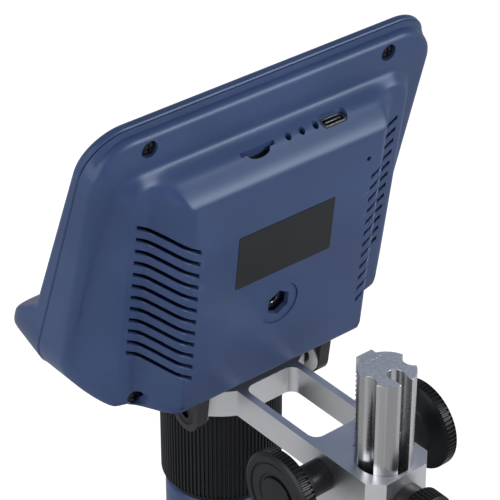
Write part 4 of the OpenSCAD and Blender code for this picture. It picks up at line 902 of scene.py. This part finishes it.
def stadium(half, r):
    """A slot with round ends, whose arcs' centres are half left and right of the middle."""
    right = [(half + r * math.cos(a), r * math.sin(a)) for a in np.linspace(-math.pi / 2, math.pi / 2, 12)]
    return right + [(-x, -y) for x, y in right]


def vent_cutter(side, index):
    """A slanted slot whose mouth follows the surface and is chamfered there."""
    base = VENT_HIGH - index * VENT_PITCH
    stations = []
    for u in np.linspace(0, 1, 25):
        x, v = VENT_INNER + VENT_SPAN * u, base + VENT_RISE * u
        low, high, c = v, v + VENT_W, VENT_CHAMFER
        top, bottom = float(back_at(x, low)), float(back_at(x, high))
        section = [(low - c, top - VENT_BEYOND), (low - c, top), (low, top + c), (low, top + VENT_DEEP)]
        section += [(high, bottom + VENT_DEEP), (high, bottom + c)]
        section += [(high + c, bottom), (high + c, bottom - VENT_BEYOND)]
        stations.append(np.array([(side * x, v_, d) for v_, d in section]))
    return loft("vent_cutter", stations, blue, HEAD)


def across_top(x, d):
    """A frame whose Z runs up the head, for the openings in its top wall."""
    return HEAD @ Matrix.Translation((x, 0, d)) @ Matrix.Rotation(-math.pi / 2, 4, "X")


def through_top(name, points, x, d, low=TOP_WALL_FROM):
    """A cutter for an opening in the top wall, round a place in the head, from a height to above the head."""
    return prism(name, points, low, ABOVE_HEAD, across_top(x, d))


def rear_shell():
    """The moulded shell: lofted, then cut open for its vents, screws, nut, label, ports and ears."""
    piece = loft("rear_shell_finished", rear_shell_rings(), blue, HEAD)
    vents = [vent_cutter(side, k) for side in (-1, 1) for k in range(VENTS)]
    cutters = []
    outside = -1
    for x in (-CASE_SCREW_X, CASE_SCREW_X):
        for v in CASE_SCREW_V:
            d = float(back_at(x, v))
            pilot = circle(x, v, PILOT_R, 24)
            cutters.append(prism("recess", circle(x, v, RECESS_R), d - 4, d + RECESS_DEEP, HEAD))
            cutters.append(prism("pilot", pilot, d + PILOT_FROM, d + PILOT_DEEP, HEAD))
    cutters.append(prism("nut_ring", circle(0, NUT_V, NUT_RING_R, 64), outside, NUT_RING_DEEP, HEAD))
    pocket = circle(0, NUT_V, NUT_CORNER_R, 6, math.pi / 6)
    cutters.append(prism("nut_pocket", pocket, NUT_RING_DEEP / 2, NUT_DEEP, HEAD))
    label_place = rectangle(LABEL_X + LABEL_GAP, LABEL_V[0] - LABEL_GAP, LABEL_V[1] + LABEL_GAP)
    cutters.append(prism("label_place", rounded(label_place, 0.6), outside, LABEL_DEEP, HEAD))
    cutters.append(prism("microphone", circle(*MICROPHONE, MICROPHONE_R, 24), outside, 2 * WALL, HEAD))
    cutters.append(through_top("port", stadium(PORT_HALF, PORT_R), PORT_X, PORT_D))
    card = rectangle(CARD_HALF, -CARD_HALF_T, CARD_HALF_T)
    cutters.append(through_top("card", card, CARD_X, CARD_D))
    thumb = [(THUMB_HALF * math.cos(a), THUMB_DEEP * math.sin(a)) for a in np.linspace(0, math.pi, 25)]
    cutters.append(through_top("thumb", thumb, CARD_X, THUMB_D, THUMB_FROM))
    for x in LIGHT_HOLES_X:
        cutters.append(through_top("light_hole", circle(0, 0, LIGHT_HOLE_R, 32), x, PORT_D, LIGHT_HOLE_FROM))
    for side in (-1, 1):
        (near, far), (front, back) = EAR_X, EAR_D
        slot = [(side * near, -front), (side * far, -front), (side * far, -back), (side * near, -back)]
        cutters.append(prism("ear_slot", slot, HEAD_LOW - 1, HEAD_LOW + WALL + 2, across_top(0, 0)))
    cut(piece, [join(vents, "vents"), *cutters])
    smooth(piece, 30)
    return show(piece, "rear_shell")


# ---------------------------------------------------------------- the screen side
def blended_min(a, b, k):
    """The smaller of two heights, with a soft change over where they differ by less than k."""
    h = np.clip(0.5 + 0.5 * (b - a) / k, 0, 1)
    return b * (1 - h) + a * h - k * h * (1 - h)


def chin_at(x, s):
    """Height of the control panel over the screen side: a slope to a round nose, with curved ends."""
    down = math.atan2(NOSE_W, NOSE_S - CHIN_LOW) + math.asin(NOSE_R / math.hypot(NOSE_S - CHIN_LOW, NOSE_W))
    under, over = (s - CHIN_LOW) * math.tan(down), (CHIN_HIGH - s) * math.tan(CHIN_LEAN)
    nose = NOSE_W + np.sqrt(np.maximum(0, NOSE_R**2 - (s - NOSE_S) ** 2))
    start, end = NOSE_S - NOSE_R * math.sin(down), NOSE_S + NOSE_R * math.sin(CHIN_LEAN)
    profile = np.where(s < start, under, np.where(s > end, over, nose))
    across = np.clip(1 - (BEZEL_HALF - 0.1 - np.abs(x)) / CHIN_END_W, 0, 1)
    ends = CHIN_END_H + (CHIN_OUT - CHIN_END_H) * np.sqrt(1 - across**2)
    height = blended_min(profile, ends, END_BLEND)
    foot = np.abs(height) / FOOT_BLEND
    return -blended_min(-height, 0 * height, FOOT_BLEND) - FOOT_SINK * (foot < 1) * (1 - foot) ** 2


def parting_w(s, lift=0.0):
    """Height of the parting plane in the screen side's frame."""
    sine, cosine, lean = math.sin(SCREEN_LEAN), math.cos(SCREEN_LEAN), math.tan(PARTING_LEAN)
    return (PARTING_DEPTH - HEAD_DEPTH + s * (sine - lean * cosine)) / (cosine + lean * sine) + lift


def bezel_outline(inwards):
    """The frame's outline. Its rounded top is kept just under the solid's chamfered one."""
    half, low, high = BEZEL_HALF - inwards, BEZEL_LOW + inwards, BEZEL_HIGH - 0.1 - inwards
    return outline(half, low, high, LOW_CORNER - inwards, HIGH_CORNER - inwards)


def lifted(points, w):
    return np.column_stack([points, np.broadcast_to(w, len(points))])


def panel_rise(points):
    return np.maximum(0, chin_at(points[:, 0], points[:, 1]))


def button_place(k):
    return PANEL @ Matrix.Translation(((k - (BUTTONS - 1) / 2) * BUTTON_PITCH, 0, 0))


def front_bezel():
    """The frame round the screen and the control panel: a hoop of rings, bored for the buttons."""
    rings = []
    for inwards, up in ((GROOVE, 0), (0, GROOVE)):
        p = bezel_outline(inwards)
        rings.append(lifted(p, parting_w(p[:, 1], up)))
    edge = []
    for a in range(0, 91, 15):
        p = bezel_outline(BEZEL_EDGE * (1 - math.cos(math.radians(a))))
        edge.append(lifted(p, panel_rise(p) - BEZEL_EDGE + BEZEL_EDGE * math.sin(math.radians(a))))
    rings += mixed(rings[-1], edge[0], 5) + edge
    outer = bezel_outline(BEZEL_EDGE)
    opening = outline(GLASS_HALF, GLASS_LOW, GLASS_HIGH, GLASS_R, GLASS_R)
    face_rings = 52
    faces = [outer + (opening - outer) * t for t in np.linspace(0, 1, face_rings)[1:]]
    fronts = [lifted(p, panel_rise(p)) for p in faces]
    rings += fronts[:-1] + [lifted(opening, 0), lifted(opening, -GLASS_T)]
    view = outline(VIEW_HALF, VIEW_LOW, VIEW_HIGH, VIEW_R, VIEW_R)
    rings += [lifted(view, -GLASS_T), lifted(view, -FACE_T)]
    # Behind the face every third ring is enough.
    rings += [ring - np.array([0, 0, FACE_T]) for ring in fronts[-2::-3]]
    inside = bezel_outline(WALL)
    rings += [lifted(inside, -FACE_T - 0.2), lifted(inside, parting_w(inside[:, 1]))]
    piece = loft("front_bezel_finished", rings, blue, SCREEN, closed=True)
    r, bevel, under, over = BUTTON_R + BUTTON_CLEAR, 0.25, -3.5, 1.5
    profile = [(0, under), (r, under), (r, -bevel), (r + bevel, 0), (r + bevel, over), (0, over)]
    cut(piece, [lathe("bore", profile, blue, button_place(k), 64) for k in range(BUTTONS)])
    smooth(piece, 32)
    return show(piece, "front_bezel")


def buttons():
    """Six round caps, each slightly dished, with the flange that holds it behind the panel."""
    r, top, edge_r, hollow = BUTTON_R, 1.2, 0.4, 0.25
    dish = [(r * 0.8 * (1 - t), top - hollow * math.sin(math.pi / 2 * t)) for t in np.linspace(0, 1, 8)]
    under, flange_r, stem_r = -FLANGE_Q - 1, r + 0.8, 1.2
    profile = [(0, -STEM_Q), (stem_r, -STEM_Q), (stem_r, under), (flange_r, under), (flange_r, -FLANGE_Q)]
    turns = np.linspace(0, math.pi / 2, 6)
    edge = [(r - edge_r + edge_r * math.cos(a), 0.8 + edge_r * math.sin(a)) for a in turns]
    profile += [(r, -FLANGE_Q)] + edge + dish
    for k in range(BUTTONS):
        name = "button_%d" % (k + 1)
        piece = lathe(name + "_finished", profile, button_grey, button_place(k), 64)
        smooth(piece)
        show(piece, name)


def screen_glass_piece():
    """The cover glass: a slab with round corners and a fine edge, and a map of where the picture lies."""
    gap, edge = 0.1, 0.15
    half, low, high = GLASS_HALF - gap, GLASS_LOW + gap, GLASS_HIGH - gap
    rings = [lifted(outline(half, low, high, 1.4, 1.4), w) for w in (-GLASS_T, -edge)]
    rings.append(lifted(outline(half - edge, low + edge, high - edge, 1.3, 1.3), 0))
    piece = loft("screen_cover_finished", rings, cover_glass, Matrix.Identity(4))
    uv = piece.data.uv_layers.new(name="place")
    corners = np.zeros(len(piece.data.loops), int)
    piece.data.loops.foreach_get("vertex_index", corners)
    at = np.array([v.co for v in piece.data.vertices])[corners]
    across, up = 0.5 + at[:, 0] / (2 * GLASS_HALF), (at[:, 1] - GLASS_LOW) / (GLASS_HIGH - GLASS_LOW)
    uv.data.foreach_set("uv", np.stack([across, up], 1).astype(np.float32).ravel())
    piece.data.transform(SCREEN)
    smooth(piece, 30)
    return show(piece, "screen_cover")


# ---------------------------------------------------------------- knobs and rings
def on_shaft(side, out):
    """A frame on the knobs' shaft, so far out from the middle, whose Z runs outwards."""
    at = Matrix.Translation((side * out, SHAFT_Y, SHAFT_Z)) @ Matrix.Rotation(side * math.pi / 2, 4, "Y")
    return STAND @ at


def knob(name, side):
    """A knurled rim on a flared hub, with a groove in its face. Z runs outwards along the shaft."""
    rim_from, bore, r = 5.5, 2.6, KNOB_R
    top = KNOB_RIM + rim_from
    # The hub and its flare, the rim, its face with a groove, and the bore.
    outside = [
        (5.2, 0), (5.4, 1.6, 1.5), (7.2, 4, 2.5), (9.6, 4.8, 3), (r - 1.2, rim_from, 0.5), (r, 6.1, 0.3),
        (r, top - 0.7, 0.35), (r - 1.0, top, 0.35), (r - 2.6, top, 0.2), (r - 2.75, top - 0.5, 0.1),
        (r - 3.1, top - 0.55, 0.1), (r - 3.3, top - 0.25, 0.15), (7.2, top - 0.25, 0.15),
        (6.95, top - 0.6, 0.1), (6.3, top - 0.6, 0.1), (6.2, top - 1.0, 0.1),
    ]
    inside = [(bore, top - 1.0, 0.1), (bore, 0, 0.1)]
    profile = rounded(outside + inside, 0.15)
    wall = refine_wall(profile, r - 0.01, 0.4)
    piece = lathe(name + "_finished", wall, black_knurl, STAND, KNURLS * 6)
    at = on_shaft(side, KNOB_OUT - top)
    ribbed(piece, at, KNURLS, KNURL_DEPTH, r, low=5.9, high=top - 0.45, run_out=0.35, land=0.52)
    return show(piece, name)


def refine_wall(profile, radius, step):
    """Splits the stretches of a profile that lie at a radius, so that grooves can run out on them."""
    result = []
    for k, point in enumerate(profile):
        result.append(point)
        after = profile[(k + 1) % len(profile)]
        if point[0] >= radius and after[0] >= radius:
            count = max(1, int(abs(after[1] - point[1]) / step))
            result += [(point[0], point[1] + (after[1] - point[1]) * i / count) for i in range(1, count)]
    return result


def knob_caps():
    """The smooth discs in the middle of both knobs."""
    profile = rounded([(0, -1.5), (CAP_R, -1.5, 0.1), (CAP_R, 0.1, 0.35), (0, 0.1)], 0.0, 5)
    pieces = [lathe("knob_cap", profile, black, on_shaft(side, KNOB_OUT)) for side in (-1, 1)]
    piece = join(pieces, "knob_caps_finished")
    smooth(piece)
    return show(piece, "knob_caps")


def lock_knob():
    """The small knurled knob of the lock screw. Its Z runs to the back."""
    r, top, bore = LOCK_R, LOCK_GRIP, 2.0
    profile = [(bore, 0), (5, 0, 0.2), (r, 1.3, 0.3), (r, top - 0.7, 0.35), (r - 1.2, top, 0.4), (bore, top)]
    profile = rounded(profile, 0.1)
    profile = refine_wall(profile, r - 0.01, 0.4)
    piece = lathe("lock_knob_finished", profile, black_knurl, STAND, LOCK_KNURLS * 8)
    at = Matrix.Translation((0, LOCK_Y + 0.2, LOCK_Z)) @ Matrix.Rotation(-math.pi / 2, 4, "X")
    ribbed(piece, STAND @ at, LOCK_KNURLS, 0.5, r, low=1.0, high=top - 0.5, run_out=0.4, land=0.5)
    return show(piece, "lock_knob")


def focus_ring():
    """The ring with fine ribs round the barrel. It turns the lens carrier's thread."""
    r, low, high = FOCUS_R, FOCUS_TOP - FOCUS_LEN, FOCUS_TOP
    bore = SLEEVE_R + 0.1
    profile = rounded([
        (bore, low), (r - 1.4, low, 0.2), (r, low + 2.6, 0.6), (r, high - 0.5, 0.3), (r - 0.5, high, 0.15),
        (bore, high, 0.1),
    ], 0.1)
    profile = refine_wall(profile, r - 0.01, 1.0)
    piece = lathe("focus_ring_finished", profile, black_barrel, STAND, FOCUS_RIBS * 6)
    low, high = low + 1.2, high - 0.1
    ribbed(piece, ON_AXIS, FOCUS_RIBS, RIB_DEPTH, r, low, high, run_out=0.5, land=0.52)
    return show(piece, "focus_ring")


def lens_hood():
    """The blue hood under the ring, open below, with a seat inside for its light board."""
    top, bottom, r = HOOD_TOP, HOOD_LOW, HOOD_R
    seat, board, hole = top - 4.4, top - 6, 10
    profile = rounded([
        (SLEEVE_R, top), (r - 0.7, top, 0.2), (r, top - 0.8, 0.3), (r, bottom + 0.9, 0.5),
        (r - 0.4, bottom, 0.35), (r - 1.2, bottom, 0.3), (r - 1.2, board, 0.1), (hole, board, 0.1),
        (hole, seat, 0.1), (SLEEVE_R, seat, 0.1),
    ], 0.1)
    piece = lathe("lens_hood_finished", profile, blue, ON_AXIS, 144)
    smooth(piece)
    return show(piece, "lens_hood")


# ---------------------------------------------------------------- screws and boards
def cross_head(name, head_r, head_h, shank_r, shank, material):
    """A pan-head screw with a cross recess. Its head's seat is at the origin, and its top faces +Z."""
    angles = np.linspace(0, math.pi / 2, 8)
    dome = [(head_r * math.cos(a), head_h * (0.35 + 0.65 * math.sin(a))) for a in angles]
    profile = [(0, -shank), (shank_r, -shank), (shank_r, 0), (head_r, 0)] + dome
    piece = lathe(name, profile, material, STAND, 40)
    arm, half = 0.58 * head_r, 0.13 * head_r
    blade = rectangle(arm, -half, half)
    turns = [STAND @ Matrix.Rotation(angle, 4, "Z") for angle in (0, math.pi / 2)]
    cut(piece, [prism("blade", blade, head_h * 0.45, head_h + 1, turn) for turn in turns])
    return piece


def screws():
    """The screws of the case, the main board and the sleeve. The board's are hidden by the housing."""
    circle_r = 17
    corners = [(x, v) for x in (-CASE_SCREW_X, CASE_SCREW_X) for v in CASE_SCREW_V]
    case = [(HEAD, (x, v, float(back_at(x, v)) + RECESS_DEEP), (0, 0, -1)) for x, v in corners]
    board = [(HEAD, (x, v, 9.0), (0, 0, 1)) for x in (-24, 24) for v in (44, 74)]
    sleeve = []
    for a in np.radians((30, 150, 270)):
        at = (circle_r * math.cos(a), AXIS_Y + circle_r * math.sin(a), ARM_TOP - 1.4)
        sleeve.append((STAND, at, (0, 0, 1)))
    sizes = {"case_screws": (2.2, 1.0, 1.2, 4.4), "board_screws": (1.75, 1.1, 0.95, 4.8)}
    sizes["sleeve_screws"] = (1.8, 0.8, 0.75, 4.4)
    for (name, size), places in zip(sizes.items(), (case, board, sleeve)):
        master = cross_head("one_of_" + name, *size, finish_of[name])
        show(copied(name + "_finished", master, places, finish_of[name]), name)


def board_parts():
    """Two fields of small parts on the main board, one at each side of its processor."""
    fields = [
        ((-19, 60, BOARD_D), {"Width": 14, "Depth": 30, "Part": 1.6}, {"Across": 9, "Along": 12, "Seed": 3}),
        ((18, 56, BOARD_D), {"Width": 10, "Depth": 22, "Part": 1.5}, {"Across": 7, "Along": 10, "Seed": 8}),
    ]
    pieces = []
    for at, sizes, counts in fields:
        piece = new_piece("board_field", [(0, 0, 0)], [], chip_black)
        sizes = {name: size * MM for name, size in sizes.items()}
        apply_tree(piece, BOARD_PARTS, Material=chip_black, **sizes, **counts)
        piece.data.transform(HEAD @ Matrix.Translation(at) @ Matrix.Scale(1 / MM, 4))
        pieces.append(piece)
    return show(join(pieces, "main_board_parts"), body="display", slot="chip_black")


def usb_tongue():
    """The contact tongue in the middle of the port."""
    tongue, low, high = rounded(rectangle(2.5, -0.35, 0.35), 0.15, 2), 75, 79.4
    piece = prism("usb_tongue", tongue, low, high, across_top(PORT_X, PORT_D), chip_black)
    smooth(piece, 30)
    return show(piece, body="display", slot="port_metal")


def card_shroud():
    """A black sheet behind the card slot: painted shade that keeps the opening dark."""
    mouth, low, high = rounded(rectangle(6.6, -2.4, 3.2), 0.4, 2), 77.45, 77.85
    piece = prism("card_shroud", mouth, low, high, across_top(CARD_X, CARD_D), chip_black)
    return show(piece, body="display", slot="chip_black")


def label():
    """The bare label: a film with round corners, let into the back."""
    film = rounded(rectangle(LABEL_X, *LABEL_V), 0.5)
    piece = prism("label_plate_finished", film, -0.1, LABEL_DEEP, HEAD, label_black)
    smooth(piece, 30)
    return show(piece, "label_plate")


# ---------------------------------------------------------------- the studio
def camera():
    """A long lens, so that the form is drawn nearly without perspective."""
    data = bpy.data.cameras.new("camera")
    data.lens, data.sensor_width = CAMERA_LENS, 36.0
    data.clip_start, data.clip_end = 0.05, 20.0
    holder = bpy.data.objects.new("camera", data)
    bpy.context.scene.collection.objects.link(holder)
    turn = Matrix.Rotation(CAMERA_AZIMUTH, 4, "Z") @ Matrix.Rotation(math.pi / 2 - CAMERA_ELEVATION, 4, "X")
    holder.matrix_world = Matrix.Translation(Vector(CAMERA_AT) * MM) @ turn
    bpy.context.scene.camera = holder


def floor():
    """A pale floor: nearly white where it is seen straight on or through glass, greyer in a mirror."""
    f = Finish("studio_floor", (0.85, 0.85, 0.85), 0.9)
    rays = f.node("ShaderNodeLightPath", {}).outputs
    shown = Amount(f, rays["Is Camera Ray"]) + rays["Is Transmission Ray"]
    mirrored = Amount(f, rays["Is Glossy Ray"])
    strength = FLOOR_GLOW * shown + FLOOR_GLOW_MIRRORED * mirrored
    glow = f.node("ShaderNodeEmission", {}, (1, 1, 1, 1), strength).outputs[0]
    share = (shown + mirrored).rising(0, 1) * FLOOR_GLOW_SHARE
    both = f.node("ShaderNodeMixShader", {}, share, f.shader.outputs[0], glow).outputs[0]
    f.give(f.output.inputs[0], both)
    half = 4.0
    corners = [(-half, -half, 0), (half, -half, 0), (half, half, 0), (-half, half, 0)]
    new_piece("floor", corners, [(0, 1, 2, 3)], f.material, Matrix.Identity(4))


def surround():
    """A white surround to look at, a graded grey one for reflections, and a little even light."""
    world = bpy.data.worlds.new("studio")
    bpy.context.scene.world = world
    world.use_nodes = True
    w = NodeMaker(world.node_tree)
    rays = w.node("ShaderNodeLightPath", {}).outputs
    place = w.node("ShaderNodeTexCoord", {}).outputs["Generated"]
    height = w.node("ShaderNodeSeparateXYZ", {}, place).outputs[2]
    sky = w.node("ShaderNodeValToRGB", {"stops": SKY_STOPS}, height).outputs[0]
    even = w.node("ShaderNodeBackground", {}, (0.92, 0.95, 1.0, 1), 0.1).outputs[0]
    mirrored = w.node("ShaderNodeBackground", {}, sky).outputs[0]
    white = w.node("ShaderNodeBackground", {}, (1, 1, 1, 1)).outputs[0]
    lit = w.node("ShaderNodeMixShader", {}, rays["Is Glossy Ray"], even, mirrored).outputs[0]
    seen = w.math("MAXIMUM", rays["Is Camera Ray"], rays["Is Transmission Ray"])
    w.node("ShaderNodeOutputWorld", {}, w.node("ShaderNodeMixShader", {}, seen, lit, white).outputs[0])


def lamps():
    """Three soft square lamps, aimed at the middle. The one in front doesn't show in gloss."""
    target = Vector((0, 0.02, 0.12))
    for name, at, size, power, in_gloss in LAMPS:
        lamp = bpy.data.lights.new(name, "AREA")
        lamp.shape, lamp.size, lamp.energy = "SQUARE", size, power
        holder = bpy.data.objects.new(name, lamp)
        holder.visible_glossy = in_gloss
        bpy.context.scene.collection.objects.link(holder)
        aim = (target - Vector(at)).to_track_quat("-Z", "Y").to_matrix().to_4x4()
        holder.matrix_world = Matrix.Translation(at) @ aim


def studio():
    bpy.context.scene.view_settings.view_transform = "Standard"
    camera()
    floor()
    surround()
    lamps()


# ---------------------------------------------------------------- build
rear_shell()
front_bezel()
buttons()
screen_glass_piece()
knob("knob_left", -1)
knob("knob_right", 1)
knob_caps()
lock_knob()
focus_ring()
lens_hood()
screws()
board_parts()
usb_tongue()
card_shroud()
label()
for node_name, edge_width in EDGE_WIDTHS.items():
    softened(node_name, edge_width)
studio()
